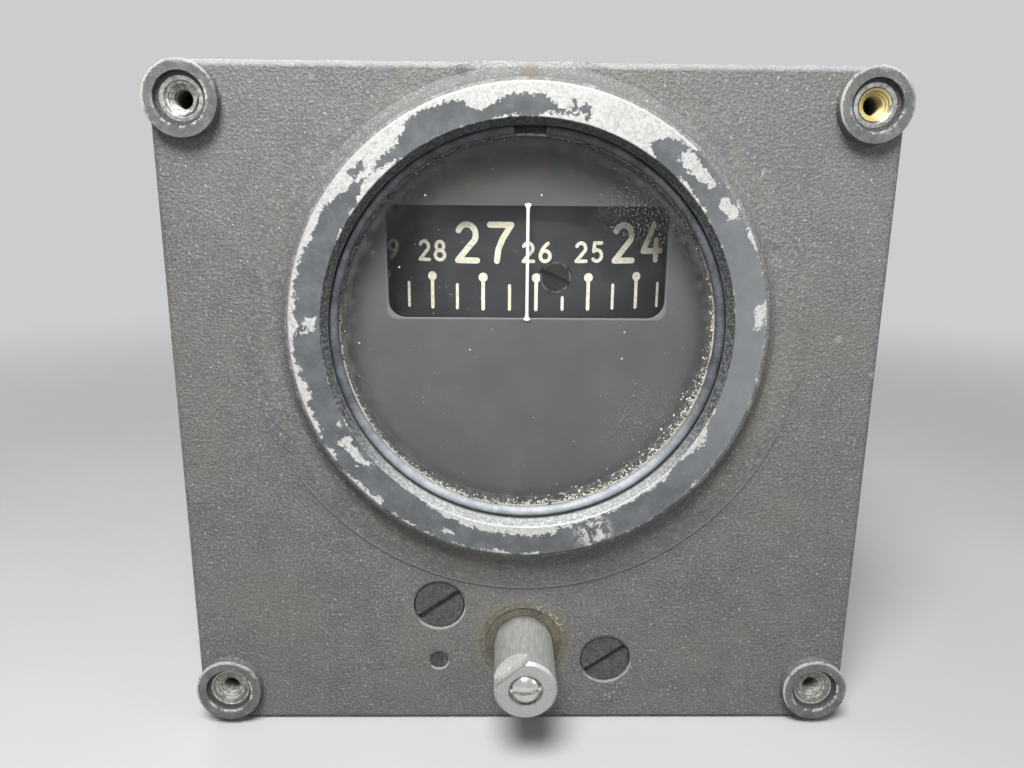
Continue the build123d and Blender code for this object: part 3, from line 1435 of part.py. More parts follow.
# Rear cover casting with the filter cup and two port bosses
with BuildPart() as rear_cover:
    with BuildSketch(facing(cover_y)):
        with Locations((0, case_z)):
            RectangleRounded(plate_width, plate_height, plate_corner_r)
    extrude(amount=-cover_plate)
    with BuildSketch(facing(cover_y + cover_plate)):
        with Locations((0, case_z)):
            RectangleRounded(dome_width, dome_height, dome_r)
    extrude(amount=-dome_depth)
    fillet(rear_cover.faces().sort_by(Axis.Y)[-1].edges(), dome_edge_r)
    with BuildSketch(facing(cover_y)):
        with Locations((0, case_z)):
            RectangleRounded(dome_width - 2 * cover_wall, dome_height - 2 * cover_wall, dome_r - cover_wall)
    extrude(amount=-(cover_plate + dome_depth - cover_wall), mode=Mode.SUBTRACT)
    with BuildSketch(facing(cup_y)):
        with Locations((0, filter_z)):
            Circle(cup_r)
    extrude(amount=-(dome_y - cup_y))
    with BuildSketch(facing(dome_y - cover_wall - 1)):
        with Locations((-port_x, port_z), (port_x, port_z)):
            Circle(port_boss_r)
    extrude(amount=-(cover_wall + 1 + port_boss_proud))
    with BuildSketch(facing(dome_y)):
        with Locations((0, filter_z)):
            Circle(cup_bore_r)
    extrude(amount=dome_y - ledge_y, mode=Mode.SUBTRACT)
    with BuildSketch(facing(ledge_y)):
        with Locations((0, filter_z)):
            Circle(cup_ledge_r)
    extrude(amount=chamber_depth, mode=Mode.SUBTRACT)
    with BuildSketch(facing(cover_y)):
        with Locations((0, tube_z)):
            Circle(tube_r + seat_gap)
    extrude(amount=-(cup_y + cup_floor - cover_y), mode=Mode.SUBTRACT)
    with BuildSketch(facing(dome_y + port_boss_proud)):
        with Locations((-port_x, port_z), (port_x, port_z)):
            Circle(port_thread_r)
    extrude(amount=dome_depth + port_boss_proud, mode=Mode.SUBTRACT)
    with BuildSketch(facing(cover_y)):
        with Locations(*cover_screw_points):
            Circle(cover_screw_r + slide_gap)
    extrude(amount=-cover_plate, mode=Mode.SUBTRACT)
rear_cover.part.label = "rear_cover"
export_step(rear_cover.part, "parts/rear_cover.step")

with BuildPart() as rear_cover_gasket:
    with BuildSketch(facing(case_depth)):
        with Locations((0, case_z)):
            RectangleRounded(plate_width, plate_height, plate_corner_r)
            RectangleRounded(inner_width, inner_height, case_corner_r - case_wall + 0.5, mode=Mode.SUBTRACT)
        with Locations(*cover_screw_points):
            Circle(cover_screw_r + slide_gap, mode=Mode.SUBTRACT)
    extrude(amount=-cover_gasket)
rear_cover_gasket.part.label = "rear_cover_gasket"
export_step(rear_cover_gasket.part, "parts/rear_cover_gasket.step")

with BuildPart() as rear_cover_screws:
    head_y = cover_y + cover_plate
    with BuildSketch(facing(head_y)):
        with Locations(*cover_screw_points):
            Circle(cover_screw_head_r)
    extrude(amount=-cover_screw_head)
    with BuildSketch(facing(head_y)):
        with Locations(*cover_screw_points):
            Circle(cover_screw_r)
    extrude(amount=cover_plate + cover_gasket + cover_screw_reach - 0.5)
    with BuildSketch(facing(head_y + cover_screw_head)):
        with Locations(*cover_screw_points):
            Rectangle(2 * cover_screw_head_r + 1, 0.8)
    extrude(amount=cover_screw_head / 2, mode=Mode.SUBTRACT)
rear_cover_screws.part.label = "rear_cover_screws"
export_step(rear_cover_screws.part, "parts/rear_cover_screws.step")

# Filter pad, screen and retaining ring in the cup
with BuildPart() as filter_pad:
    with BuildSketch(facing(ledge_y)):
        with Locations((0, filter_z)):
            Circle(cup_bore_r - filter_gap)
    extrude(amount=-pad_thickness)
filter_pad.part.label = "filter_pad"
export_step(filter_pad.part, "parts/filter_pad.step")

with BuildPart() as filter_screen:
    with BuildSketch(facing(ledge_y + pad_thickness)):
        with Locations((0, filter_z)):
            Circle(cup_bore_r - filter_gap)
            with HexLocations(screen_pitch / 2, 5, 5):
                Circle(screen_hole_r, mode=Mode.SUBTRACT)
    extrude(amount=-screen_thickness)
filter_screen.part.label = "filter_screen"
export_step(filter_screen.part, "parts/filter_screen.step")

with BuildPart() as filter_retainer:
    with BuildSketch(facing(ledge_y + pad_thickness + screen_thickness)):
        with Locations((0, filter_z)):
            Circle(cup_bore_r - filter_gap)
            Circle(filter_ring_inner_r, mode=Mode.SUBTRACT)
    extrude(amount=-filter_ring)
filter_retainer.part.label = "filter_retainer"
export_step(filter_retainer.part, "parts/filter_retainer.step")

# Plug in the port that isn't used
with BuildPart() as port_plug:
    with BuildSketch(facing(dome_y + port_boss_proud)):
        with Locations((-port_x, port_z)):
            RegularPolygon(plug_head_r, 6)
    extrude(amount=-plug_head)
    with BuildSketch(facing(dome_y + port_boss_proud)):
        with Locations((-port_x, port_z)):
            Circle(port_thread_r - thread_gap)
    extrude(amount=plug_reach)
port_plug.part.label = "port_plug"
export_step(port_plug.part, "parts/port_plug.step")
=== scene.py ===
import json
import math
import random

import bpy
from mathutils import Matrix, Vector


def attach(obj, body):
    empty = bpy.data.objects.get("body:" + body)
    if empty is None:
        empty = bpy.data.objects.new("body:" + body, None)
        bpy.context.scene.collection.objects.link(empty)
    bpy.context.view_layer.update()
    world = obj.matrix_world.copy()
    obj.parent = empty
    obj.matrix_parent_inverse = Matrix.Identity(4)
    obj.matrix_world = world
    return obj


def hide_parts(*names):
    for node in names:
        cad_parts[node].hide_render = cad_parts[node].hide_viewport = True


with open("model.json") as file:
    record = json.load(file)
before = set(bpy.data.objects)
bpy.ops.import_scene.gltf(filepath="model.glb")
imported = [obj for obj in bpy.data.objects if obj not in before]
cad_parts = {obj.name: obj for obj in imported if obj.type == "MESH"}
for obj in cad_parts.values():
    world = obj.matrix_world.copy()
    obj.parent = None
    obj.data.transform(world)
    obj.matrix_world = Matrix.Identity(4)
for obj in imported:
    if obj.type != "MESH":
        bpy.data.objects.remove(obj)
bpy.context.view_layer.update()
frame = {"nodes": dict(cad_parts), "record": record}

MM = 0.001

# Places and sizes in the frame, in millimetres where the name doesn't say degrees
DIAL_Z = 15.9
LAND_INNER_R = 34.65
LAND_OUTER_R = 39.75
PAD_R = 48.55
GLASS_R = 32.1
SEEN_GLASS_R = 32.25
SHAFT_Z = -44.0
SHAFT_END_Y = -15.3
HOLE_X = 55.5625
HOLE_Z = 53.0
MIDDLE_Z = -0.6
CARD_Y = 60.0
CARD_R = 54.0
CARD_SCREW_Z = 24.3
CARD_SCREW_DEGREES = 5.4
WINDOW_HALF_X = 24.25
WINDOW_HALF_Z = 9.7
WINDOW_Z = 27.0
WINDOW_CORNER_R = 1.6
FLOOR_Z = -60.4


class Shader:
    """One material and short calls that add its nodes. Lengths in it are in millimetres."""

    def __init__(self, name):
        self.material = bpy.data.materials.new(name)
        self.material.use_nodes = True
        self.nodes = self.material.node_tree.nodes
        self.links = self.material.node_tree.links
        self.nodes.clear()
        place = self.add("ShaderNodeVectorMath", "SCALE")
        self.links.new(self.add("ShaderNodeTexCoord").outputs["Object"], place.inputs[0])
        place.inputs["Scale"].default_value = 1000
        self.place = place.outputs[0]
        split = self.add("ShaderNodeSeparateXYZ")
        self.links.new(self.place, split.inputs[0])
        self.x, self.y, self.z = split.outputs

    def add(self, kind, operation=None, values=()):
        node = self.nodes.new(kind)
        if operation:
            node.operation = operation
        for socket, value in zip(node.inputs, values):
            self.feed(socket, value)
        return node

    def feed(self, socket, value):
        if isinstance(value, bpy.types.NodeSocket):
            self.links.new(value, socket)
        elif isinstance(value, tuple) and len(value) == 3 and len(socket.default_value) == 4:
            socket.default_value = (*value, 1)
        else:
            socket.default_value = value

    def math(self, operation, *values):
        return self.add("ShaderNodeMath", operation, values).outputs[0]

    def chain(self, operation, values):
        found = values[0]
        for value in values[1:]:
            found = self.math(operation, found, value)
        return found

    def plus(self, *values):
        return self.chain("ADD", values)

    def times(self, *values):
        return self.chain("MULTIPLY", values)

    def most(self, *values):
        return self.chain("MAXIMUM", values)

    def minus(self, a, b):
        return self.math("SUBTRACT", a, b)

    def absolute(self, a):
        return self.math("ABSOLUTE", a)

    def invert(self, a):
        return self.minus(1.0, a)

    def swing(self, a, reach):
        """A noise made to swing about 0, over that reach in all."""
        return self.times(self.minus(a, 0.5), reach)

    def length(self, a, b):
        return self.math("SQRT", self.plus(self.times(a, a), self.times(b, b)))

    def step(self, value, low, high):
        """0 below low, 1 above high and smooth between them; high may be the smaller one."""
        node = self.add("ShaderNodeMapRange")
        node.interpolation_type = "SMOOTHSTEP"
        flip = high < low
        for socket, number in zip(node.inputs, (value, min(low, high), max(low, high))):
            self.feed(socket, number)
        node.inputs["To Min"].default_value = 1.0 if flip else 0.0
        node.inputs["To Max"].default_value = 0.0 if flip else 1.0
        return node.outputs[0]

    def band(self, value, low, high, soft):
        """1 from low to high, with edges that are soft by that much each way."""
        rise = self.step(value, low - soft, low + soft)
        return self.times(rise, self.step(value, high + soft, high - soft))

    def stretched(self, scale, shift=(0, 0, 0)):
        """The place in millimetres, scaled per axis and shifted."""
        node = self.add("ShaderNodeVectorMath", "MULTIPLY_ADD", (self.place, scale, shift))
        return node.outputs[0]

    def noise(self, size, detail=3.0, rough=0.55, place=None, warp=0.0):
        """Noise from 0 to 1 whose features are about size across."""
        node = self.add("ShaderNodeTexNoise")
        self.feed(node.inputs["Vector"], place or self.place)
        node.inputs["Scale"].default_value = 1 / size
        node.inputs["Detail"].default_value = detail
        node.inputs["Roughness"].default_value = rough
        node.inputs["Distortion"].default_value = warp
        return node.outputs[0]

    def specks(self, size, share, radius):
        """Round specks: one in some cells of that size, share of the cells, radius in cells."""
        node = self.add("ShaderNodeTexVoronoi")
        self.feed(node.inputs["Vector"], self.place)
        node.inputs["Scale"].default_value = 1 / size
        pick = self.add("ShaderNodeSeparateXYZ")
        self.links.new(node.outputs["Color"], pick.inputs[0])
        chosen = self.step(pick.outputs[0], 1 - share, 1 - share + 0.02)
        return self.times(chosen, self.step(node.outputs["Distance"], radius, radius * 0.6))

    def colour(self, factor, a, b):
        node = self.add("ShaderNodeMix")
        node.data_type = "RGBA"
        self.feed(node.inputs["Factor"], factor)
        self.feed(node.inputs[6], a)
        self.feed(node.inputs[7], b)
        return node.outputs[2]

    def lay(self, tone, colour, *masks):
        """The tone with a colour laid over it as far as all the masks let it through."""
        return self.colour(self.times(*masks), tone, colour)

    def radius(self, x, z):
        """Distance from the line along the depth through (x, z)."""
        return self.length(self.minus(self.x, x), self.minus(self.z, z))

    def angle(self, x, z):
        """The turn about that line, from 0 to 1, anticlockwise from the right as seen from the front."""
        turn = self.math("ARCTAN2", self.minus(self.z, z), self.minus(self.x, x))
        return self.math("FRACT", self.plus(self.times(turn, 1 / (2 * math.pi)), 1.0))

    def profile(self, value, stops):
        """A number that follows value (0 to 1) through (place, height) stops."""
        node = self.add("ShaderNodeValToRGB")
        ramp = node.color_ramp
        while len(ramp.elements) < len(stops):
            ramp.elements.new(0.5)
        for element, (place, height) in zip(ramp.elements, sorted(stops)):
            element.position = place
            element.color = (height, height, height, 1)
        self.feed(node.inputs[0], value)
        return node.outputs[0]

    def spot(self, x, z, r, soft=0.3):
        return self.step(self.radius(x, z), r + soft, r - soft)

    def finish(self, colour, roughness, metallic=0.0, height=None, bump=0.1, level=0.5, strength=1.0):
        """The shader itself. height is in millimetres when bump is 1."""
        shader = self.add("ShaderNodeBsdfPrincipled")
        self.feed(shader.inputs["Base Color"], colour)
        self.feed(shader.inputs["Roughness"], roughness)
        self.feed(shader.inputs["Metallic"], metallic)
        shader.inputs["Specular IOR Level"].default_value = level
        if height is not None:
            node = self.add("ShaderNodeBump")
            self.feed(node.inputs["Strength"], strength)
            node.inputs["Distance"].default_value = bump * MM
            self.feed(node.inputs["Height"], height)
            self.links.new(node.outputs[0], shader.inputs["Normal"])
        self.shader = shader.outputs[0]
        self.output = self.add("ShaderNodeOutputMaterial").inputs[0]
        self.links.new(self.shader, self.output)
        return self.material

    def blend(self, factor, first, second):
        """Two shaders mixed by a factor: all first at 0 and all second at 1."""
        return self.add("ShaderNodeMixShader", values=(factor, first, second)).outputs[0]


class CaseShader(Shader):
    """The case's shader, with the noises and places that its marks share."""

    def __init__(self):
        super().__init__("case_wrinkle_paint")
        self.r = self.radius(0, DIAL_Z)
        self.turn = self.angle(0, DIAL_Z)
        self.side_x = self.absolute(self.x)
        self.front = self.step(self.y, 1.4, 0.6)
        self.rag = self.noise(1.7, 4, 0.72, warp=0.6)
        self.rag_fine = self.noise(0.5, 4, 0.7)
        self.patchy = self.noise(3.5, 4, 0.7)


def shade(colour, factor):
    return tuple(min(1.0, c * factor) for c in colour)


def wear_depth(s, stops):
    """Depth of the wear round the dial, from (degrees, depth) stops. Below 0 there is none."""
    lowest, span = 1, 6
    halves = []
    for start in (0, 180):
        near = [(a, depth) for a, depth in stops if start <= a <= start + 180]
        near = [((a - start) / 180, (depth + lowest) / span) for a, depth in near]
        halves.append(s.profile(s.minus(s.times(s.turn, 2.0), start / 180), near))
    lower = s.step(s.turn, 0.4998, 0.5002)
    both = s.plus(s.times(halves[0], s.invert(lower)), s.times(halves[1], lower))
    return s.minus(s.times(both, span), lowest)


def chip_depth(s, start, end, inner, outer):
    """How deep inside a chip of the land a place lies; the chip runs between two angles and radii."""
    round_land = 2 * math.pi * (LAND_INNER_R + LAND_OUTER_R) / 2
    along = s.math("MINIMUM", s.minus(s.turn, start / 360), s.minus(end / 360, s.turn))
    across = s.math("MINIMUM", s.minus(s.r, inner), s.minus(outer, s.r))
    return s.math("MINIMUM", s.times(along, round_land), across)


# Wear of the land as (degrees, millimetres) from its outer edge inwards and from its inner edge outwards,
# anticlockwise from the right
OUTER_WEAR = [
    (0, -0.5), (3, 0.1), (7, 0.2), (10, -0.6), (19, -0.6), (22, 0.4), (25, 0.5), (28, -0.5),
    (37, -0.2), (48, -0.3), (52, 0.4), (55, 1.7), (60, 4.2), (71, 4.6), (77, 3.9), (83, 3.2),
    (87, 1.6), (97, 1.8), (99, 3.0), (103, 3.2), (107, 0.9), (118, 0.6), (122, 1.2), (126, 2.6),
    (131, 3.3), (138, 3.0), (145, 1.5), (155, 1.0), (163, 0.4), (172, 0.9), (180, 0.6), (190, 0.3),
    (193, 1.4), (196, 1.4), (198, 0.2), (201, 0.8), (206, 0.8), (209, 0.1), (213, 0.5), (216, -0.5),
    (221, 0.3), (224, 0.9), (229, 0.4), (232, -0.4), (236, 0.3), (240, -0.4), (253, 0.1), (263, 0.3),
    (272, 0.1), (276, -0.5), (360, -0.5)]
INNER_WEAR = [
    (0, -0.5), (30, -0.4), (38, 0.2), (43, 0.4), (46, -0.4), (53, -0.4), (58, 1.2), (70, 1.4),
    (78, 0.6), (85, 0.5), (88, 0.2), (103, 0.2), (107, -0.5), (126, -0.5), (130, 0.8), (139, 1.0),
    (144, 0.2), (148, -0.2), (151, 0.3), (155, -0.4), (180, -0.5), (225, -0.5), (240, 0.0), (248, 0.9),
    (256, 1.3), (268, 1.4), (278, 1.5), (283, 0.4), (295, 0.1), (306, 0.3), (314, 0.6), (319, 0.1),
    (325, 0.5), (330, 0.8), (334, 0.0), (345, -0.5), (360, -0.5)]
# Separate chips and, inside them, islands of paint, each as start, end, inner and outer radius
LAND_CHIPS = [
    (39.5, 49.5, 37.0, 38.8), (30.0, 35.8, 37.7, 39.2), (2.0, 7.5, 38.2, 39.4), (176.3, 179.6, 35.7, 36.9),
    (205.6, 207.7, 35.6, 36.7), (210.5, 220.3, 35.4, 37.1), (248.0, 251.0, 37.6, 38.4)]
LAND_ISLANDS = [(75.0, 80.0, 35.8, 37.6), (134.0, 138.0, 37.2, 38.7), (88.0, 98.0, 35.3, 37.4)]

PAINT = (0.112, 0.115, 0.118)
LAND_PAINT = (0.098, 0.106, 0.112)
DUST = (0.205, 0.190, 0.152)
BARE = (0.61, 0.61, 0.585)
# Flush holes in the plate, for two screws and a dowel, each as x, z and radius
FRONT_HOLES = [(-15.8, -36.2, 4.75), (15.6, -47.5, 4.75), (-16.0, -47.7, 1.75)]


def wrinkle(s):
    """Colour and height of wrinkle-finish paint with dust in it, with painted shade in the hollows between
    its lumps and painted highlights on their crests.
    """
    lumps = s.noise(0.5, 3, 0.65)
    fine = s.noise(0.26, 2, 0.7)
    height = s.plus(s.times(s.step(lumps, 0.36, 0.64), 0.8), s.times(fine, 0.6))
    tone = s.colour(s.step(s.noise(5, 4, 0.7), 0.3, 0.7), shade(PAINT, 0.86), shade(PAINT, 1.14))
    # Painted shade darkens the hollows between the lumps
    tone = s.lay(tone, shade(PAINT, 0.5), s.step(lumps, 0.50, 0.36), 0.5)
    # Painted highlights lighten the crests of the lumps
    tone = s.lay(tone, shade(PAINT, 2.3), s.step(s.plus(lumps, s.times(fine, 0.5)), 0.76, 0.96), 0.8)
    grit = s.plus(s.times(fine, 0.6), s.times(s.noise(1.1, 3), 0.4))
    cloud = s.step(s.noise(14, 4, 0.6), 0.36, 0.66)
    return s.lay(tone, DUST, cloud, s.step(grit, 0.46, 0.60), 0.55), height


def front_dirt(s, tone):
    """Specks, dust and brownish dirt, thicker round the bezel's foot and the shaft, and painted light and
    shade along the round pad's lower edge.
    """
    specks = s.most(s.specks(0.7, 0.22, 0.25), s.times(s.specks(1.6, 0.36, 0.15), 0.85))
    amount = s.plus(0.30, s.times(s.step(s.patchy, 0.4, 0.6), 0.5))
    tone = s.lay(tone, (0.50, 0.50, 0.46), specks, amount)
    dusty = s.step(s.plus(s.z, s.times(s.x, 0.3)), -25, 60)
    tone = s.lay(tone, (0.30, 0.30, 0.29), dusty, s.front, 0.10)
    brown = s.step(s.noise(24, 3, 0.5), 0.46, 0.62)
    tone = s.lay(tone, (0.165, 0.150, 0.112), brown, s.front, 0.20)
    tone = s.lay(tone, DUST, s.band(s.r, 43.6, 46.0, 1.2), s.step(s.rag, 0.35, 0.6), 0.28)
    halo = s.step(s.plus(s.radius(0, SHAFT_Z), s.times(s.rag, 3)), 12.6, 8.4)
    tone = s.lay(tone, (0.16, 0.145, 0.105), halo, s.front, 0.75)
    # Painted light along the lower edge of the round pad lightens the dark crease of its step, and a soft
    # painted shade lies along it
    painted_pad_light = s.band(s.r, PAD_R - 0.35, PAD_R + 0.1, 0.12)
    tone = s.lay(tone, (0.20, 0.20, 0.195), painted_pad_light, s.step(s.z, 0.0, -14.0), s.front, 0.7)
    painted_pad_shade = s.band(s.r, PAD_R - 3.2, PAD_R + 1.2, 1.4)
    return s.lay(tone, (0.055, 0.055, 0.052), painted_pad_shade, s.step(s.z, 4.0, -20.0), s.front, 0.25)


def land_wear(s, tone):
    """The land is smoother and bluer, with a painted sheen towards its upper right, and its paint has chipped
    to bare metal along both edges.
    """
    proud = s.step(s.y, -3.9, -4.15)
    land = s.times(proud, s.step(s.r, 34.4, 34.7))
    paint = s.colour(s.step(s.patchy, 0.35, 0.7), shade(LAND_PAINT, 0.8), shade(LAND_PAINT, 1.25))
    paint = s.lay(paint, (0.35, 0.36, 0.36), s.step(s.rag_fine, 0.60, 0.72), 0.25)
    # Painted sheen: the land is lightened towards its upper right
    painted_sheen = s.step(s.minus(s.x, s.times(s.z, 0.2)), 12, 38)
    paint = s.lay(paint, (0.225, 0.235, 0.240), painted_sheen, s.step(s.z, -18, 4), 0.55)
    tone = s.lay(tone, paint, land)

    from_outside = s.minus(wear_depth(s, OUTER_WEAR), s.minus(LAND_OUTER_R, s.r))
    from_inside = s.minus(wear_depth(s, INNER_WEAR), s.minus(s.r, LAND_INNER_R))
    inside = s.most(from_outside, from_inside, *(chip_depth(s, *chip) for chip in LAND_CHIPS))
    for island in LAND_ISLANDS:
        inside = s.math("MINIMUM", inside, s.times(chip_depth(s, *island), -1.0))
    ragged = s.plus(s.swing(s.rag, 3.8), s.swing(s.rag_fine, 1.6), s.swing(s.noise(4.5, 3, 0.6), 2.4))
    chip = s.times(s.step(s.plus(inside, ragged), -0.05, 0.05), proud, s.step(s.r, 34.3, 34.5))
    scraped = s.times(s.spot(12.0, DIAL_Z - 35.4, 2.9, 1.2), s.step(s.rag, 0.47, 0.52), land)

    # The bevel inside the land is speckled; painted shade darkens its upper half and painted light brightens
    # its worn lower half
    bevel = s.times(s.band(s.r, 33.65, 34.62, 0.05), s.step(s.y, -1.9, -2.4))
    grain = s.step(s.rag_fine, 0.42, 0.64)
    painted_shade = s.colour(grain, (0.035, 0.037, 0.038), (0.15, 0.155, 0.155))
    worn = s.colour(grain, (0.22, 0.235, 0.24), (0.42, 0.43, 0.42))
    bevel_tone = s.colour(s.step(s.z, DIAL_Z - 14, DIAL_Z - 29), painted_shade, worn)
    return s.lay(tone, bevel_tone, bevel), land, s.most(chip, scraped)


def boss_wear(s, tone):
    """The corner bosses: dirty fronts, and bare chips on their rims, partly wear and partly painted
    highlight, on the outer rim where it faces the light and on the inner rim on the far side.
    """
    over_x = s.minus(s.side_x, HOLE_X)
    over_z = s.minus(s.absolute(s.z), HOLE_Z)
    r = s.length(over_x, over_z)
    boss = s.times(s.step(r, 6.25, 6.05), s.step(s.y, -0.4, -0.9))
    face = s.times(s.step(r, 6.1, 6.0), s.step(s.y, -1.6, -1.85))
    to_left = s.times(over_x, s.math("SIGN", s.x), -0.5)
    # Bare chips are laid by where the light falls, so they stand partly for painted highlights
    lit_side = s.step(s.plus(to_left, s.times(over_z, s.math("SIGN", s.z))), -3.0, 4.0)
    outer_rim = s.step(s.minus(r, s.swing(s.rag_fine, 1.2)), 5.55, 5.75)
    outer_rim = s.times(outer_rim, lit_side, s.step(s.rag, 0.36, 0.46))
    inner_rim = s.times(s.band(r, 4.1, 4.55, 0.1), s.step(s.rag, 0.48, 0.56), s.invert(lit_side))
    spots = s.step(s.noise(0.9, 4, 0.75), 0.70, 0.75)
    edge = s.times(boss, s.band(s.y, -2.05, -1.55, 0.1), s.step(r, 5.75, 5.9))
    edge = s.times(edge, lit_side, s.step(s.rag, 0.4, 0.5))
    chip = s.most(s.times(face, s.most(outer_rim, inner_rim, spots)), edge)
    mottled_tone = s.colour(s.step(s.rag, 0.3, 0.7), (0.060, 0.068, 0.064), (0.150, 0.158, 0.152))
    tone = s.lay(tone, mottled_tone, face, 0.8)
    bore = s.times(s.step(r, 4.35, 4.15), s.step(s.y, -1.9, -1.5))
    return s.lay(tone, (0.045, 0.045, 0.045), bore, 0.85), face, chip


def hole_edges(s, tone):
    """The flush holes get a painted highlight along their lower edges and painted shade along their upper
    edges.
    """
    for x, z, hole_r in FRONT_HOLES:
        from_hole = s.radius(x, z)
        slanted = s.minus(s.z, s.times(s.minus(s.x, x), 0.3))
        # A painted highlight along each hole's lower edge
        lower = s.step(slanted, z - 0.25 * hole_r, z - 0.7 * hole_r)
        edge_marks = s.times(s.band(from_hole, hole_r, hole_r + 0.28, 0.1), s.step(s.rag_fine, 0.32, 0.45))
        tone = s.lay(tone, (0.50, 0.51, 0.49), edge_marks, lower, s.front, 0.8)
        # Painted shade along each hole's upper edge
        upper = s.step(s.z, z + 0.1 * hole_r, z + 0.6 * hole_r)
        painted_shade = s.band(from_hole, hole_r - 0.3, hole_r + 0.35, 0.2)
        tone = s.lay(tone, (0.035, 0.036, 0.034), painted_shade, upper, s.front, 0.65)
    return tone


def small_marks(s, tone):
    """Fine scratches at the upper right, a tan mark, dark spots and a bare scratch by the shaft."""
    across = s.step(s.noise(0.8, 2, 0.5, s.stretched((0.22, 1, 1.6), (5, 0, 2))), 0.715, 0.735)
    upwards = s.step(s.noise(0.9, 2, 0.5, s.stretched((1.1, 1, 0.25), (1, 0, 7))), 0.735, 0.755)
    corner = s.times(s.step(s.plus(s.x, s.z), 42, 80), s.step(s.r, 41, 44))
    tone = s.lay(tone, (0.45, 0.45, 0.43), s.most(across, upwards), corner, s.front, 0.4)
    tan = s.colour(s.rag_fine, (0.07, 0.06, 0.045), (0.19, 0.17, 0.135))
    tan_place = s.times(s.band(s.x, -1.6, 1.2, 0.15), s.band(s.z, 56.3, 59.6, 0.15))
    tone = s.lay(tone, tan, tan_place, s.front, 0.9)
    dark = s.most(s.spot(-10.9, 57.6, 0.9, 0.3), s.times(s.spot(-46.5, 24.0, 1.6, 1.3), 0.4))
    tone = s.lay(tone, (0.05, 0.05, 0.05), dark, s.front, 0.6)
    left_edge = s.times(s.step(s.x, -58.2, -60.6), s.band(s.z, 26, 35, 2.0))
    tone = s.lay(tone, (0.06, 0.06, 0.06), left_edge, s.step(s.rag, 0.4, 0.55), 0.6)
    lines = s.step(s.noise(0.5, 2, 0.6, s.stretched((0.6, 1, 7.0))), 0.70, 0.74)
    return tone, s.times(lines, s.spot(7.0, SHAFT_Z + 7.5, 4.0, 2.0), s.front)


def edge_wear(s, tone):
    """Thin paint on the bezel's flank and the plate's edges, and paint rubbed off outer corners."""
    flank = s.times(s.band(s.r, 39.5, 40.7, 0.2), s.step(s.rag, 0.5, 0.62))
    top = s.times(s.step(s.plus(s.z, s.times(s.rag, 1.2)), 58.6, 59.4), s.step(s.y, 3.0, 1.4))
    side = s.times(s.step(s.plus(s.side_x, s.times(s.rag, 1.6)), 61.7, 62.3), s.step(s.y, 1.8, 0.9))
    dents = s.most(s.spot(54.0, 14.6, 0.7, 0.15), s.spot(60.6, 8.2, 0.6, 0.15))
    dents = s.times(s.most(dents, s.times(s.spot(-35.0, 56.5, 0.5, 0.15), 0.8)), s.front)
    worn = s.most(s.times(top, 0.75), s.times(side, 0.35), s.times(flank, 0.6), s.times(dents, 0.5))
    tone = s.lay(tone, (0.34, 0.35, 0.35), worn, 0.8)

    side_z = s.absolute(s.minus(s.z, MIDDLE_Z))
    past_plate = s.most(s.minus(s.side_x, 61.0), s.minus(side_z, 59.4))
    corners = s.most(s.band(s.y, 4.4, 5.6, 0.4), s.band(s.y, 0.0, 0.9, 0.4))
    plate = s.times(s.step(past_plate, 0.1, 0.35), corners, s.step(s.rag, 0.50, 0.56))
    past_rear = s.most(s.minus(s.side_x, 59.9), s.minus(side_z, 58.6))
    rear = s.times(s.step(s.y, 108, 112), s.step(past_rear, 0.2, 0.5), s.step(s.rag, 0.56, 0.60))
    return tone, s.most(plate, rear)


def inner_casting(s, tone):
    """Inside the case the casting is bare and dull, and the snap ring's groove is dark."""
    within = s.times(s.step(s.side_x, 57.2, 56.4), s.step(s.z, 56.0, 55.2), s.step(s.z, -57.4, -56.4))
    inside = s.times(s.step(s.y, 5.0, 5.4), within)
    tone = s.lay(tone, s.colour(s.patchy, (0.26, 0.27, 0.27), (0.40, 0.41, 0.40)), inside)
    groove = s.times(s.step(s.r, 34.6, 34.4), s.step(s.y, -2.5, -2.3))
    return s.lay(tone, (0.03, 0.03, 0.03), groove, 0.9), inside


def case_paint():
    """Wrinkle paint with all the wear and dirt of the front, chipped to bare metal in places."""
    s = CaseShader()
    tone, height = wrinkle(s)
    tone = front_dirt(s, tone)
    tone, land, land_chip = land_wear(s, tone)
    tone, boss_face, boss_chip = boss_wear(s, tone)
    tone = hole_edges(s, tone)
    tone, scratch = small_marks(s, tone)
    tone, edge_marks = edge_wear(s, tone)
    tone, inside = inner_casting(s, tone)
    bare = s.most(land_chip, boss_chip, s.times(scratch, 0.8), s.times(edge_marks, 0.8))
    bare_tone = s.colour(s.step(s.rag_fine, 0.35, 0.6), shade(BARE, 0.72), BARE)
    stain = s.step(s.noise(1.3, 4, 0.75), 0.58, 0.68)
    bare_tone = s.lay(bare_tone, (0.30, 0.31, 0.30), stain, 0.7)
    smooth = s.most(land, boss_face, inside)
    strength = s.times(s.invert(s.times(smooth, 0.85)), s.invert(s.times(bare, 0.9)))
    rough = s.plus(s.times(s.patchy, 0.12), 0.46, s.times(smooth, -0.08))
    metallic = s.times(bare, 0.35)
    return s.finish(s.lay(tone, bare_tone, bare), rough, metallic, height, 0.085, 0.55, strength)


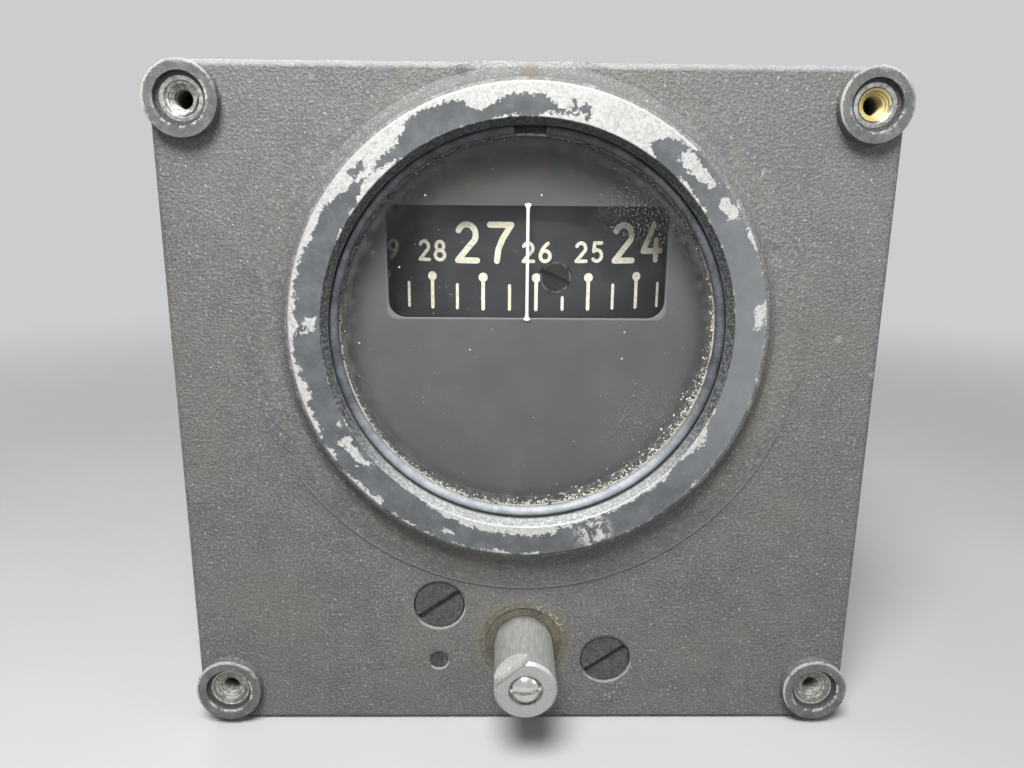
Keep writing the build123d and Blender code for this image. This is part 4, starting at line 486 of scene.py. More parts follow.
def cover_paint():
    """The same wrinkle paint on the rear cover, worn along its rim and bare on its machined boss."""
    s = Shader("cover_wrinkle_paint")
    tone, height = wrinkle(s)
    tone = s.lay(tone, (0.40, 0.40, 0.37), s.specks(1.6, 0.12, 0.15), 0.5)
    side_x = s.absolute(s.x)
    side_z = s.absolute(s.minus(s.z, MIDDLE_Z))
    rag = s.noise(1.8, 4, 0.75)
    edge = s.most(s.step(s.plus(side_x, rag), 61.7, 62.2), s.step(s.plus(side_z, rag), 60.1, 60.6))
    edge = s.times(edge, s.step(s.y, 118.0, 120.2), s.step(s.noise(1.2, 4, 0.7), 0.42, 0.5))
    bare = s.most(edge, s.step(s.y, 135.1, 135.4))
    hollow = s.times(s.step(side_x, 49.5, 49.1), s.step(side_z, 49.5, 49.1))
    tone = s.lay(tone, (0.32, 0.33, 0.33), s.step(s.y, 128.6, 128.4), hollow)
    colour = s.lay(tone, s.colour(s.noise(0.8, 4), (0.42, 0.43, 0.42), BARE), bare, 0.9)
    rough = s.plus(s.times(s.noise(3, 3), 0.12), 0.46)
    return s.finish(colour, rough, s.times(bare, 0.35), height, 0.055, 0.5, s.invert(bare))


def metal(name, colour, rough=0.35, brush=(1, 1, 1), stain=0.3,
          stain_colour=(0.05, 0.045, 0.035), metallic=1.0, size=2.0):
    """Machined or cast metal: brush is the per-axis stretch of its fine lines."""
    s = Shader(name)
    lines = s.noise(0.5, 4, 0.7, s.stretched(brush))
    cloud = s.noise(size, 4, 0.65)
    tone = s.colour(s.step(lines, 0.25, 0.75), shade(colour, 0.78), shade(colour, 1.12))
    tone = s.lay(tone, stain_colour, s.step(cloud, 0.52, 0.74), stain)
    roughness = s.plus(rough - 0.08, s.times(lines, 0.12), s.times(s.step(cloud, 0.5, 0.75), 0.15))
    return s.finish(tone, roughness, metallic, s.plus(lines, s.times(cloud, 0.3)), 0.012)


def soft(name, colour, other, rough=0.8, grain=0.4, bump=0.05, level=0.3):
    """Rubber, felt or flat paint with a fine grain."""
    s = Shader(name)
    fine = s.noise(grain, 4, 0.7)
    cloud = s.noise(grain * 12, 4, 0.6)
    tone = s.colour(s.step(s.plus(s.times(fine, 0.6), s.times(cloud, 0.4)), 0.35, 0.65), colour, other)
    return s.finish(tone, s.plus(rough - 0.05, s.times(fine, 0.1)), 0.0, fine, bump, level=level)


MATERIALS = {
    "case_paint": case_paint(),
    "cover_paint": cover_paint(),
    "steel": metal("turned_steel", (0.55, 0.55, 0.54), 0.32, (1, 6, 1), 0.3),
    "blackened_steel": metal("blackened_steel", (0.085, 0.088, 0.085), 0.42, stain=0.5,
                             stain_colour=(0.10, 0.075, 0.05), metallic=0.7, size=1.2),
    "aluminium": metal("bare_aluminium", (0.66, 0.67, 0.66), 0.38, (4, 4, 0.4), 0.18),
    "brass": metal("brass", (0.58, 0.44, 0.20), 0.34, (3, 3, 0.5), 0.35),
    "rotor_metal": metal("rotor_bronze", (0.62, 0.52, 0.34), 0.28, (1, 8, 1), 0.2),
    "rubber": soft("black_rubber", (0.018, 0.018, 0.018), (0.04, 0.04, 0.038), 0.75),
    "felt": soft("packing_felt", (0.075, 0.072, 0.055), (0.17, 0.16, 0.125), 0.95, 0.3, 0.15, 0.1),
    "filter_felt": soft("filter_felt", (0.36, 0.34, 0.29), (0.52, 0.50, 0.44), 0.95, 0.35, 0.2, 0.1),
    "lubber_white": soft("lubber_white", (0.80, 0.80, 0.78), (0.88, 0.88, 0.86), 0.5, 0.5, 0.02),
}


# How much dirt lies along the edge of the glass, as (part of a turn, amount)
GLASS_DIRT = [
    (0.0, 0.25), (0.08, 0.20), (0.17, 0.12), (0.25, 0.06), (0.36, 0.08), (0.45, 0.16), (0.53, 0.22),
    (0.60, 0.28), (0.68, 0.45), (0.75, 0.55), (0.81, 0.95), (0.86, 1.0), (0.91, 0.95), (0.96, 0.65),
    (1.0, 0.30)]


def cloud_round(s, x, z, size, reach, end, start):
    """A ragged cloud round a place: 1 nearer than start, 0 further off than end."""
    return s.step(s.minus(s.radius(x, z), s.times(s.noise(size, 4, 0.7), reach)), end, start)


def glass_dust(s, r):
    """How thickly dust covers the glass, and where it is a brownish crust; r is from the dial's middle."""
    inward = s.minus(SEEN_GLASS_R, r)
    reach = s.plus(s.times(s.profile(s.angle(0, DIAL_Z), GLASS_DIRT), 4.2), 0.25)
    crumbs = s.minus(s.noise(0.75, 4, 0.8), s.times(s.math("DIVIDE", inward, reach), 0.16))
    line = s.times(s.step(inward, 0.32, 0.18), s.step(s.noise(1.4, 4, 0.75), 0.40, 0.50))
    crust = s.most(s.step(crumbs, 0.50, 0.57), line)
    film = s.plus(0.008, s.times(s.step(s.noise(9, 4, 0.6, warp=1.0), 0.42, 0.75), 0.022))
    rim = s.step(s.plus(r, s.times(s.noise(2.2, 4, 0.75), 7.0)), SEEN_GLASS_R + 0.25, SEEN_GLASS_R + 4.25)
    small = s.times(s.specks(1.0, 0.12, 0.14), 0.5)
    specks = s.most(s.specks(2.4, 0.16, 0.085), small, s.specks(7.0, 0.30, 0.05))
    fine = s.noise(0.32, 3, 0.8)
    upper = s.times(cloud_round(s, 19.0, DIAL_Z + 20.0, 2.5, 9.0, 6.0, -3.0), s.step(fine, 0.56, 0.63))
    lower = s.times(cloud_round(s, 21.0, DIAL_Z - 18.0, 2.0, 10.0, 8.0, -4.0), s.step(fine, 0.55, 0.62))
    scratch = s.step(s.noise(0.9, 2, 0.5, s.stretched((0.25, 1, 2.5), (3, 0, 1))), 0.735, 0.75)
    scratch = s.times(scratch, s.step(s.noise(7, 2), 0.55, 0.7))
    wavy_z = s.plus(s.z, s.times(s.noise(9, 2), 2.2))
    long_scratch = s.times(s.band(wavy_z, 3.2, 3.25, 0.04), s.step(s.absolute(s.x), 9.0, 6.0))
    dust = s.most(
        film, s.times(rim, 0.14), s.times(specks, 0.85), s.times(s.most(upper, lower), 0.42),
        s.times(scratch, 0.2), s.times(long_scratch, 0.12),
        s.times(crust, s.step(r, SEEN_GLASS_R + 0.15, SEEN_GLASS_R), 0.85))
    return s.times(dust, s.step(r, SEEN_GLASS_R + 0.35, SEEN_GLASS_R + 0.05)), crust


def glass_material():
    """Clear glass with dust on its front, thicker near the rim and along the bottom."""
    s = Shader("dusty_glass")
    front = s.step(s.y, 0.5, 0.1)
    dust, crust = glass_dust(s, s.radius(0, DIAL_Z))
    s.finish(s.colour(crust, (0.62, 0.63, 0.61), (0.60, 0.58, 0.49)), 0.6)
    clear = s.add("ShaderNodeBsdfTransparent").outputs[0]
    gloss = s.add("ShaderNodeBsdfGlossy")
    gloss.inputs["Roughness"].default_value = 0.06
    # Glass mirrors 4 % of the light from straight ahead and all of it at a grazing angle
    facing = s.add("ShaderNodeLayerWeight")
    facing.inputs["Blend"].default_value = 0.5
    mirror = s.plus(s.times(s.math("POWER", facing.outputs["Facing"], 5.0), 0.96), 0.04)
    dusty = s.blend(s.times(dust, front), clear, s.shader)
    s.links.new(s.blend(s.times(mirror, front, 0.6), dusty, gloss.outputs[0]), s.output)
    return s.material


def mask_paint():
    """The mask's flat black, brownish at the top, with a worn grey edge round its window, painted shade
    towards the bottom and round its edge, and a painted shadow of the bezel's lip over its top and sides.
    """
    s = Shader("mask_flat_black")
    fine = s.noise(0.3, 4, 0.7)
    mottled = s.plus(s.times(fine, 0.15), s.times(s.noise(7, 4, 0.65), 0.85))
    tone = s.colour(mottled, (0.058, 0.061, 0.061), (0.118, 0.124, 0.121))
    # Painted shade: darker towards the bottom
    tone = s.lay(tone, (0.040, 0.042, 0.042), s.step(s.z, 26, -16), 0.45)
    # A painted shadow of the bezel's lip over the top and sides
    tone = s.lay(tone, (0.012, 0.012, 0.012), s.step(s.radius(0.0, DIAL_Z - 4.0), 27.0, 33.5), 0.75)
    # Painted shade round the mask's edge
    tone = s.lay(tone, (0.014, 0.014, 0.013), s.step(s.radius(0.0, DIAL_Z), 29.5, 32.0), 0.5)
    top = s.times(s.step(s.z, 33.0, 44.0), s.step(s.noise(3.5, 4, 0.7), 0.45, 0.65))
    tone = s.lay(tone, (0.085, 0.062, 0.042), top, 0.55)
    tone = s.lay(tone, (0.30, 0.30, 0.28), s.specks(1.5, 0.10, 0.10))
    over_x = s.minus(s.absolute(s.x), WINDOW_HALF_X - WINDOW_CORNER_R)
    over_z = s.minus(s.absolute(s.minus(s.z, WINDOW_Z)), WINDOW_HALF_Z - WINDOW_CORNER_R)
    past = s.minus(s.length(s.most(over_x, 0.0), s.most(over_z, 0.0)), WINDOW_CORNER_R)
    front_rim = s.times(s.step(past, 0.5, 0.1), s.step(s.y, 3.75, 3.9))
    rim = s.most(front_rim, s.times(s.step(past, 0.35, 0.05), 0.5))
    tone = s.lay(tone, (0.30, 0.305, 0.305), rim, s.step(s.z, 30, 18), 0.8)
    return s.finish(tone, s.plus(0.5, s.times(fine, 0.15)), 0.0, fine, 0.006)


def card_paint():
    """The card's black, faintly streaked round the drum, with small light flecks."""
    s = Shader("card_black")
    ring = s.noise(1.2, 4, 0.7, s.stretched((0.12, 0.12, 1.0)))
    cloud = s.noise(6, 4, 0.7)
    mottled = s.plus(s.times(ring, 0.35), s.times(cloud, 0.65))
    tone = s.colour(mottled, (0.012, 0.013, 0.015), (0.030, 0.032, 0.036))
    brown = s.times(s.step(s.x, -16.0, -25.0), s.step(s.noise(2.5, 4, 0.7), 0.42, 0.65))
    tone = s.lay(tone, (0.10, 0.075, 0.05), brown, s.step(s.y, 30, 20), 0.5)
    tone = s.lay(tone, (0.45, 0.45, 0.42), s.specks(1.3, 0.10, 0.08), 0.8)
    return s.finish(tone, s.plus(0.42, s.times(cloud, 0.2)), 0.0, ring, 0.004)


def figure_paint():
    """Cream paint of the numbers and marks, a little uneven and thin in places."""
    s = Shader("figure_cream")
    worn = s.step(s.noise(0.5, 4, 0.75), 0.38, 0.55)
    tone = s.colour(worn, (0.60, 0.58, 0.44), (0.86, 0.85, 0.72))
    tone = s.lay(tone, (0.66, 0.60, 0.38), s.step(s.noise(8, 3), 0.4, 0.65), 0.35)
    return s.finish(tone, 0.6, 0.0, s.noise(0.4, 3), 0.02)


def shaft_metal():
    """Satin aluminium with streaks along the shaft, nicks and dark grime near the plate."""
    s = Shader("shaft_aluminium")
    streak = s.noise(0.35, 4, 0.7, s.stretched((1.6, 0.12, 1.6)))
    tone = s.colour(s.step(streak, 0.3, 0.7), (0.45, 0.455, 0.44), (0.72, 0.72, 0.70))
    end_face = s.step(s.y, SHAFT_END_Y + 0.9, SHAFT_END_Y + 0.5)
    tone = s.lay(tone, (0.30, 0.30, 0.29), end_face, 0.5)
    tone = s.lay(tone, (0.16, 0.16, 0.15), s.step(s.noise(0.7, 4, 0.75), 0.66, 0.72), 0.55)
    grime = s.step(s.plus(s.y, s.times(s.noise(1.6, 4, 0.7), 3.0)), -0.8, 2.2)
    grime = s.times(grime, 0.85)
    tone = s.lay(tone, (0.08, 0.075, 0.06), grime)
    nick = s.step(s.noise(0.5, 3, 0.6, s.stretched((0.6, 2.5, 2.0))), 0.70, 0.74)
    tone = s.lay(tone, (0.9, 0.9, 0.88), nick, 0.7)
    rough = s.plus(0.34, s.times(streak, 0.16), s.times(grime, 0.3))
    return s.finish(tone, rough, 0.7, s.plus(streak, s.times(nick, -1.5)), 0.02)


def bushing_grime():
    """Brass under oily dirt, with bright scratches at the upper right of its edge."""
    s = Shader("grimy_bushing")
    rag = s.noise(0.8, 4, 0.75)
    front = s.step(s.y, 0.6, 0.2)
    mottled_tone = s.colour(s.step(rag, 0.35, 0.65), (0.062, 0.060, 0.046), (0.155, 0.150, 0.118))
    edge = s.band(s.radius(0, SHAFT_Z), 7.1, 8.2, 0.2)
    upper_right = s.band(s.angle(0, SHAFT_Z), 0.06, 0.21, 0.03)
    lines = s.step(s.noise(0.45, 3, 0.7, s.stretched((1.0, 1, 1.0), (2, 0, 3))), 0.50, 0.60)
    mottled_tone = s.lay(mottled_tone, (0.50, 0.47, 0.36), edge, upper_right, lines, 0.8)
    brass = s.colour(s.noise(1.5, 4), (0.36, 0.27, 0.12), (0.58, 0.45, 0.20))
    return s.finish(s.lay(brass, mottled_tone, front), 0.55, s.times(s.invert(front), 0.9), rag, 0.06)


def upper_right_insert(s):
    return s.times(s.step(s.x, 40, 50), s.step(s.z, 30, 45))


def insert_metal():
    """The inserts: worn steel, brassy in the upper right one; painted shade darkens the mouth behind the
    front ring and, further in, the bore between the threads.
    """
    s = Shader("insert_steel")
    cloud = s.noise(0.8, 4, 0.7)
    tone = s.colour(s.step(cloud, 0.35, 0.65), (0.30, 0.30, 0.28), (0.66, 0.66, 0.63))
    # Painted shade darkens the mouth behind the front ring
    mottled_tone = s.colour(cloud, (0.05, 0.05, 0.042), (0.13, 0.13, 0.115))
    tone = s.lay(tone, mottled_tone, s.step(s.y, -0.97, -0.90), 0.7)
    tone = s.lay(tone, (0.46, 0.36, 0.12), upper_right_insert(s), s.step(s.y, -0.9, 0.2), 0.85)
    # Painted shade darkens the bore further in
    tone = s.lay(tone, (0.06, 0.05, 0.035), s.step(s.y, 1.0, 4.5), 0.8)
    return s.finish(tone, s.plus(0.28, s.times(cloud, 0.2)), 0.9, cloud, 0.02)


def thread_metal():
    """Bright crests of the threads, brassy in the upper right insert, with painted shade on the threads
    further in.
    """
    s = Shader("thread_crests")
    cloud = s.noise(0.7, 4, 0.7)
    tone = s.colour(s.step(cloud, 0.38, 0.6), (0.14, 0.14, 0.125), (0.46, 0.46, 0.43))
    tone = s.lay(tone, (0.50, 0.40, 0.14), upper_right_insert(s), 0.9)
    # Painted shade darkens the threads further in
    tone = s.lay(tone, (0.04, 0.035, 0.025), s.step(s.y, 0.8, 3.5))
    return s.finish(tone, 0.5, 0.35, cloud, 0.01)


def ring_metal():
    """The snap ring: steel with grey paint left on it and pale specks of dirt, with painted shade over its
    upper part and painted light over its lower part.
    """
    s = Shader("ring_steel")
    fine = s.noise(0.45, 4, 0.75)
    worn = s.step(s.noise(2.5, 4, 0.7), 0.35, 0.65)
    # Painted shade and painted light: a dark copy of the tones for the upper part and a light copy for the
    # lower part
    upper = s.colour(worn, (0.045, 0.052, 0.060), (0.11, 0.12, 0.13))
    lower = s.colour(worn, (0.24, 0.26, 0.28), (0.36, 0.38, 0.40))
    tone = s.lay(upper, lower, s.step(s.z, DIAL_Z - 10, DIAL_Z - 27))
    tone = s.lay(tone, (0.42, 0.42, 0.38), s.step(fine, 0.60, 0.68), 0.6)
    return s.finish(tone, 0.5, 0.0, fine, 0.03)


def black_screw(name, light=1.0):
    """Blackened steel with patches of dried dirt."""
    s = Shader(name)
    fine = s.noise(0.5, 4, 0.7)
    dark, pale = shade((0.035, 0.038, 0.036), light), shade((0.10, 0.105, 0.10), light)
    tone = s.colour(s.step(fine, 0.3, 0.7), dark, pale)
    tone = s.lay(tone, (0.17, 0.165, 0.145), s.step(s.noise(1.1, 4, 0.7), 0.55, 0.68), 0.6)
    return s.finish(tone, s.plus(0.38, s.times(fine, 0.25)), 0.3, fine, 0.03)


def card_screw_steel():
    """Blackened screws in the drum, rubbed along the edges of their heads, with dirt in the slots."""
    s = Shader("card_screw_steel")
    back = s.minus(CARD_Y, s.y)
    turn = s.times(s.math("ARCTAN2", s.x, back), 180 / math.pi)
    # The screws stand a quarter of a turn apart, so the turn is measured from the nearest one
    nearest = s.math("WRAP", s.minus(turn, CARD_SCREW_DEGREES), 45.0, -45.0)
    r = s.length(s.times(nearest, CARD_R * math.pi / 180), s.minus(s.z, CARD_SCREW_Z))
    fine = s.noise(0.5, 4, 0.7)
    tone = s.colour(fine, (0.004, 0.005, 0.004), (0.016, 0.018, 0.015))
    edge_marks = s.times(s.band(r, 2.45, 2.85, 0.1), s.step(s.noise(0.9, 4, 0.7), 0.40, 0.52))
    tone = s.lay(tone, (0.13, 0.14, 0.125), edge_marks, 0.7)
    slot = s.step(s.length(s.x, back), CARD_R - 0.1, CARD_R - 0.3)
    tone = s.lay(tone, (0.006, 0.006, 0.005), slot)
    return s.finish(tone, 0.65, 0.0, fine, 0.03, level=0.3)


MATERIALS["glass"] = glass_material()
MATERIALS["mask_black"] = mask_paint()
MATERIALS["card_black"] = card_paint()
OWN = {
    "shaft_bushing": bushing_grime(),
    "caging_shaft": shaft_metal(),
    "mounting_inserts": insert_metal(),
    "glass_snap_ring": ring_metal(),
    "front_screws": black_screw("front_screw_steel"),
    "front_dowel": black_screw("dowel_steel", 0.8),
    "card_screws": card_screw_steel(),
    "shaft_end_screw": metal("end_screw_steel", (0.70, 0.70, 0.67), 0.22, (0.4, 1, 4), 0.15, size=0.8),
}
for part in frame["record"]["subparts"]:
    thing = frame["nodes"][part["node"]]
    material = OWN.get(part["node"], MATERIALS[part["material_slot"]])
    thing.data.materials.clear()
    thing.data.materials.append(material)


def put(name, data):
    """A new object in the scene."""
    thing = bpy.data.objects.new(name, data)
    bpy.context.scene.collection.objects.link(thing)
    return thing


def piece(name, points, faces, body, material):
    """A new mesh from points in millimetres, riding on a body."""
    mesh = bpy.data.meshes.new(name)
    mesh.from_pydata([[c * MM for c in p] for p in points], [], faces)
    mesh.materials.append(material)
    thing = put(name, mesh)
    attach(thing, body)
    return thing


def arc(x, z, rx, rz, start, end, steps=14):
    """Points on part of an ellipse, from one angle in degrees to another."""
    turns = [math.radians(start + (end - start) * i / steps) for i in range(steps + 1)]
    return [(x + rx * math.cos(t), z + rz * math.sin(t)) for t in turns]


# Strokes of each figure by their middle lines; a figure is 1 high and about so wide
FIGURE_WIDTH = 0.56
LOOP_6 = arc(0.28, 0.29, 0.27, 0.29, 0, 360, 24)
TAIL_6 = [(0.02, 0.33), (0.05, 0.50), (0.14, 0.68), (0.28, 0.85), (0.42, 0.98)]
STROKES = {
    "0": [arc(0.28, 0.5, 0.28, 0.5, 0, 360, 28)],
    "1": [[(0.28, 0), (0.28, 1)], [(0.28, 1), (0.08, 0.80)]],
    "2": [arc(0.28, 0.71, 0.26, 0.29, 155, -28) + [(0.34, 0.38), (0.02, 0.0)],
          [(0.02, 0.0), (0.58, 0.0)]],
    "3": [arc(0.27, 0.76, 0.22, 0.24, 150, -90), arc(0.27, 0.26, 0.27, 0.26, 90, -150)],
    "4": [[(0.34, 1.0), (0.0, 0.26)], [(0.0, 0.26), (0.60, 0.26)], [(0.44, 0.56), (0.44, 0.0)]],
    "5": [[(0.52, 1.0), (0.12, 1.0)], [(0.12, 1.0), (0.07, 0.56)], arc(0.26, 0.31, 0.28, 0.31, 132, -140)],
    "6": [LOOP_6, TAIL_6],
    "7": [[(0.0, 1.0), (0.60, 1.0)], [(0.60, 1.0), (0.36, 0.62), (0.24, 0.32), (0.20, 0.0)]],
    "8": [arc(0.28, 0.76, 0.22, 0.24, 0, 360, 22), arc(0.28, 0.26, 0.28, 0.26, 0, 360, 24)],
    "9": [[(FIGURE_WIDTH - x, 1 - z) for x, z in line] for line in (LOOP_6, TAIL_6)],
}


# Turns in radians of the five points round a stroke's end
CAP_TURNS = (0.52, 1.05, 1.57, 2.09, 2.62)


class Figures:
    """Collects thin raised strokes that lie on the card drum.

    Strokes that cross get different lifts, so that no two top faces share a surface.
    """

    def __init__(self):
        self.points = []
        self.faces = []
        self.lift = 0.0

    def place(self, turn, x, z, r):
        a = turn + x / CARD_R
        return (r * math.sin(a), CARD_Y - r * math.cos(a), z)

    def outline(self, turn, loop, strip):
        """A raised form from its outline; strip lists the top faces by their places in the loop."""
        top = CARD_R + 0.05 + self.lift
        base = len(self.points)
        count = len(loop)
        for r in (top, CARD_R - 0.02):
            self.points += [self.place(turn, x, z, r) for x, z in loop]
        self.faces += [[base + i for i in face] for face in strip]
        self.faces += [[base + count + i for i in reversed(face)] for face in strip]
        return base, count

    def walls(self, base, count, ring):
        for a, b in zip(ring, ring[1:] + ring[:1]):
            self.faces.append([base + b, base + a, base + count + a, base + count + b])

    def stroke(self, turn, line, width):
        closed = math.dist(line[0], line[-1]) < 1e-6
        if closed:
            line = line[:-1]
        sides = []
        for i, (x, z) in enumerate(line):
            before = line[i - 1] if i or closed else line[i]
            after = line[(i + 1) % len(line)] if i + 1 < len(line) or closed else line[i]
            dx, dz = after[0] - before[0], after[1] - before[1]
            size = math.hypot(dx, dz)
            sides.append((-dz / size * width / 2, dx / size * width / 2))
        left = [(x + a, z + b) for (x, z), (a, b) in zip(line, sides)]
        right = [(x - a, z - b) for (x, z), (a, b) in zip(line, sides)]
        n = len(line)
        if closed:
            strip = [[i, n + i, n + (i + 1) % n, (i + 1) % n] for i in range(n)]
            base, count = self.outline(turn, left + right, strip)
            self.walls(base, count, list(range(n)))
            self.walls(base, count, [n + i for i in reversed(range(n))])
        else:
            caps = []
            for end, side in ((line[-1], sides[-1]), (line[0], (-sides[0][0], -sides[0][1]))):
                a = math.atan2(side[1], side[0])
                caps.append([(end[0] + width / 2 * math.cos(a - t), end[1] + width / 2 * math.sin(a - t))
                             for t in CAP_TURNS])
            loop = left + caps[0] + right[::-1] + caps[1]
            m = len(loop)
            back = m - 1 - len(CAP_TURNS)
            strip = [[i, back - i, back - 1 - i, i + 1] for i in range(n - 1)]
            strip.append([n - 1, *reversed(range(n, n + 1 + len(CAP_TURNS)))])
            strip.append([0, *reversed(range(back, m))])
            base, count = self.outline(turn, loop, strip)
            self.walls(base, count, list(range(m)))
        self.lift = 0.003 if self.lift == 0 else 0.0

    def number(self, turn, text, z, height, width, gap):
        size = height - width
        step = size * FIGURE_WIDTH + width + gap
        start = -(len(text) - 1) * step / 2 - size * FIGURE_WIDTH / 2
        for i, figure in enumerate(text):
            for line in STROKES[figure]:
                self.lift += 0.004
                moved = [(start + i * step + x * size, z + width / 2 + y * size) for x, y in line]
                self.stroke(turn, moved, width)


# Printing of the card in millimetres: where a number's foot is, its height, stroke and gap
LARGE_NUMBER = {"z": 26.6, "height": 7.3, "width": 1.05, "gap": 1.35}
SMALL_NUMBER = {"z": 26.8, "height": 3.8, "width": 0.62, "gap": 0.61}
MARK_FOOT_Z = 18.6
LONG_MARK_TOP_Z = 24.1
DOT_Z = 24.2
SHORT_MARK_TOP_Z = 22.8
MARK_TOP_UNDER_SCREW_Z = 20.7
# At rest the number 26 stands nearly in front, this many degrees to the right
FRONT_NUMBER = 26
FRONT_TURN = 1.78


def heading_card():
    """Numbers every ten degrees, marks every five, right round the drum; numbers fall to the right."""
    figures = Figures()
    for tens in range(36):
        turn = math.radians(FRONT_TURN + (FRONT_NUMBER - tens) * 10)
        figures.number(turn, str(tens), **(SMALL_NUMBER if tens % 3 else LARGE_NUMBER))
        figures.lift = 0.0
        figures.stroke(turn, [(0, MARK_FOOT_Z), (0, LONG_MARK_TOP_Z)], 0.64)
        figures.lift = 0.006
        figures.stroke(turn, arc(0, DOT_Z, 0.42, 0.42, 0, 360, 18), 0.8)
        figures.lift = 0.0
        under_screw = tens in (26, 17, 8, 35)
        top = MARK_TOP_UNDER_SCREW_Z if under_screw else SHORT_MARK_TOP_Z
        figures.stroke(turn + math.radians(5), [(0, MARK_FOOT_Z), (0, top)], 0.54)
    points, faces = figures.points, figures.faces
    piece("heading_figures", points, faces, "heading_gimbal", figure_paint())


def lubber():
    """The thin white wire line across the window, flared where it lies on the mask."""
    half, flare, spread, rounded = 0.26, 0.44, 0.55, 0.35
    low_z, high_z = 16.95, 37.15
    front_y, back_y = 3.42, 3.68
    steps = 90
    left, right = [], []
    for i in range(steps + 1):
        z = low_z + (high_z - low_z) * i / steps
        from_end = min(z - low_z, high_z - z)
        rounding = math.sqrt(max(0.0, 1 - (1 - min(1, from_end / rounded)) ** 2))
        w = (half + flare * math.exp(-((from_end / spread) ** 2))) * (0.35 + 0.65 * rounding)
        left.append((-w, z))
        right.append((w, z))
    loop = right + left[::-1]
    count = len(loop)
    points = [(x, y, z) for y in (front_y, back_y) for x, z in loop]
    faces = [[i, i + 1, count - 2 - i, count - 1 - i] for i in range(steps)]
    faces += [[count + j for j in reversed(face)] for face in faces]
    faces += [[(i + 1) % count, i, count + i, count + (i + 1) % count] for i in range(count)]
    line = piece("lubber_wire", points, faces, "case", MATERIALS["lubber_white"])
    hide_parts("lubber_line")


def insert_threads():
    """The screw thread inside each corner insert, which starts in its worn mouth."""
    points, faces = [], []
    pitch, around, turns = 0.34, 22, 16
    first_y, root_r = -0.88, 1.75
    profile = ((0.05, -0.03), (0.45, 0.19), (0.85, -0.03))
    for cx, cz in ((x, z) for x in (-HOLE_X, HOLE_X) for z in (-HOLE_Z, HOLE_Z)):
        mouth_r = 2.9 if cz > 0 else 3.4
        base = len(points)
        for i in range(turns * around + 1):
            t = i / around
            a = 2 * math.pi * t
            for along, inward in profile:
                y = first_y + pitch * (t + along)
                r = root_r + max(0.0, -y) * (mouth_r - root_r) - inward
                points.append((cx + r * math.cos(a), y, cz + r * math.sin(a)))
            if i:
                p = base + 3 * (i - 1)
                for k in range(3):
                    j = (k + 1) % 3
                    faces.append([p + k, p + j, p + 3 + j, p + 3 + k])
        faces.append([base, base + 2, base + 1])
        last = len(points) - 3
        faces.append([last, last + 1, last + 2])
    piece("insert_threads", points, faces, "case", thread_metal())


def crud():
    """Flakes of old paint and dirt along the edge of the glass, most at the lower right."""
    rng = random.Random(11)
    tries = 900
    points, faces = [], []
    for _ in range(tries):
        a = math.radians(rng.uniform(0, 360))
        low_right = max(0.0, math.cos(a - math.radians(-50)))
        low = max(0.0, math.cos(a - math.radians(-100)))
        if rng.random() > 0.16 + 0.85 * low_right**2 + 0.35 * low:
            continue
        r = GLASS_R - abs(rng.gauss(0, 0.28 + 0.75 * low_right**3))
        size = rng.uniform(0.05, 0.16) * (1 + 0.6 * low_right)
        cx, cz = r * math.cos(a), DIAL_Z + r * math.sin(a)
        base = len(points)
        corners = rng.choice((5, 6, 7))
        lift = rng.uniform(0.03, 0.12)
        spin = rng.uniform(0, 6.28)
        ring = []
        for k in range(corners):
            t = spin + 2 * math.pi * k / corners
            q = size * rng.uniform(0.55, 1.25)
            ring.append((cx + q * math.cos(t), cz + q * math.sin(t)))
        points += [(x, 0.0, z) for x, z in ring]
        points += [(cx + (x - cx) * 0.6, -lift * rng.uniform(0.6, 1.1), cz + (z - cz) * 0.6) for x, z in ring]
        for k in range(corners):
            j = (k + 1) % corners
            faces.append([base + k, base + j, base + corners + j, base + corners + k])
        faces.append([base + corners + k for k in range(corners)])
        faces.append([base + k for k in reversed(range(corners))])
    s = Shader("pale_crud")
    tone = s.colour(s.step(s.noise(0.6, 3), 0.35, 0.6), (0.34, 0.33, 0.28), (0.72, 0.72, 0.66))
    piece("rim_flakes", points, faces, "case", s.finish(tone, 0.7, 0.0, s.noise(0.2, 3), 0.02))


heading_card()
lubber()
insert_threads()
crud()


BACKDROP = (0.60, 0.61, 0.62)
# The weaker light that the part itself gets from the floor and the world
FLOOR_LIGHT = (0.11, 0.11, 0.11)
WORLD_LIGHT = (0.11, 0.11, 0.113)
SEEING_RAYS = ("Is Camera Ray", "Is Glossy Ray", "Is Transmission Ray")


def photo_camera():
    """The camera as fitted to the photograph; its place is in millimetres and its angles in degrees."""
    camera = put("camera", bpy.data.cameras.new("camera"))
    camera.data.lens = 28.125
    camera.data.sensor_width = 36
    camera.data.clip_start = 0.005
    camera.data.clip_end = 20
    place = Vector((-4.52, -135.88, 38.88)) * MM
    pitch, yaw, roll = (math.radians(a) for a in (13.467, -0.832, 0.470))
    level = math.cos(pitch)
    right = Vector((math.cos(yaw), math.sin(yaw), 0))
    ahead = Vector((-math.sin(yaw) * level, math.cos(yaw) * level, -math.sin(pitch)))
    up = right.cross(ahead)
    right, up = (math.cos(roll) * right + math.sin(roll) * up, math.cos(roll) * up - math.sin(roll) * right)
    turn = Matrix((right, up, -ahead)).transposed().to_4x4()
    camera.matrix_world = Matrix.Translation(place) @ turn
    bpy.context.scene.camera = camera
    bpy.context.scene.view_settings.view_transform = "Standard"


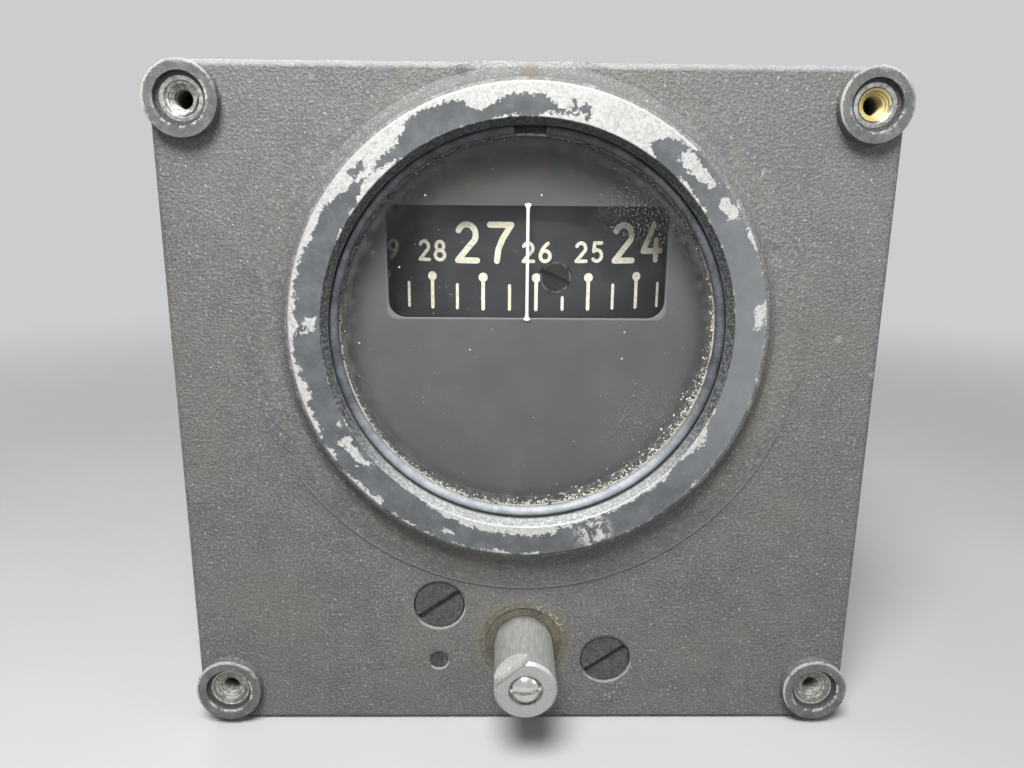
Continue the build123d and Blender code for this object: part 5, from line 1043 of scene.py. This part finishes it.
def studio_floor():
    """A pale floor that takes the background's colour further out, so that no horizon shows."""
    far = 4.0
    mesh = bpy.data.meshes.new("floor")
    corners = [(-far, -far), (far, -far), (far, far), (-far, far)]
    mesh.from_pydata([(x, y, FLOOR_Z * MM) for x, y in corners], [], [[0, 1, 2, 3]])
    floor = put("floor", mesh)
    s = Shader("pale_floor")
    path = s.add("ShaderNodeLightPath")
    seen = s.most(*(path.outputs[ray] for ray in SEEING_RAYS))
    pale = s.colour(s.noise(60, 2), (0.42, 0.425, 0.42), (0.46, 0.465, 0.46))
    s.finish(s.colour(seen, FLOOR_LIGHT, pale), 0.85, level=0.15)
    glow = s.add("ShaderNodeEmission")
    glow.inputs["Color"].default_value = (*BACKDROP, 1)
    far_off = s.step(s.length(s.x, s.y), 170, 620)
    s.links.new(s.blend(s.times(seen, far_off), s.shader, glow.outputs[0]), s.output)
    mesh.materials.append(s.material)


def lamp(name, place, aim, size, power, reflected=True):
    light = bpy.data.lights.new(name, "AREA")
    light.shape = "DISK"
    light.size = size
    light.energy = power
    thing = put(name, light)
    thing.location = place
    thing.visible_glossy = reflected
    thing.rotation_mode = "QUATERNION"
    thing.rotation_quaternion = (Vector(aim) - Vector(place)).to_track_quat("-Z", "Y")


def studio_world():
    """Even light from all round, which the camera and reflections see as the pale background."""
    world = bpy.data.worlds.new("studio")
    world.use_nodes = True
    bpy.context.scene.world = world
    nodes, links = world.node_tree.nodes, world.node_tree.links
    nodes.clear()
    path = nodes.new("ShaderNodeLightPath")
    seen = path.outputs[SEEING_RAYS[0]]
    for ray in SEEING_RAYS[1:]:
        both = nodes.new("ShaderNodeMath")
        both.operation = "MAXIMUM"
        links.new(seen, both.inputs[0])
        links.new(path.outputs[ray], both.inputs[1])
        seen = both.outputs[0]
    tone = nodes.new("ShaderNodeMix")
    tone.data_type = "RGBA"
    links.new(seen, tone.inputs["Factor"])
    tone.inputs[6].default_value = (*WORLD_LIGHT, 1)
    tone.inputs[7].default_value = (*BACKDROP, 1)
    background = nodes.new("ShaderNodeBackground")
    links.new(tone.outputs[2], background.inputs[0])
    links.new(background.outputs[0], nodes.new("ShaderNodeOutputWorld").inputs[0])


photo_camera()
studio_floor()
studio_world()
lamp("key", (-0.05, -0.24, 0.37), (0, 0, 0), 0.22, 3.95)
lamp("front", (-0.10, -0.55, 0.10), (0, 0, 0), 0.30, 0.5, reflected=False)
lamp("side", (0.75, -0.35, 0.35), (0, 0.05, 0), 0.5, 1.3)
lamp("back", (-0.5, 0.8, 0.6), (0, 0.06, 0), 0.6, 3.6)
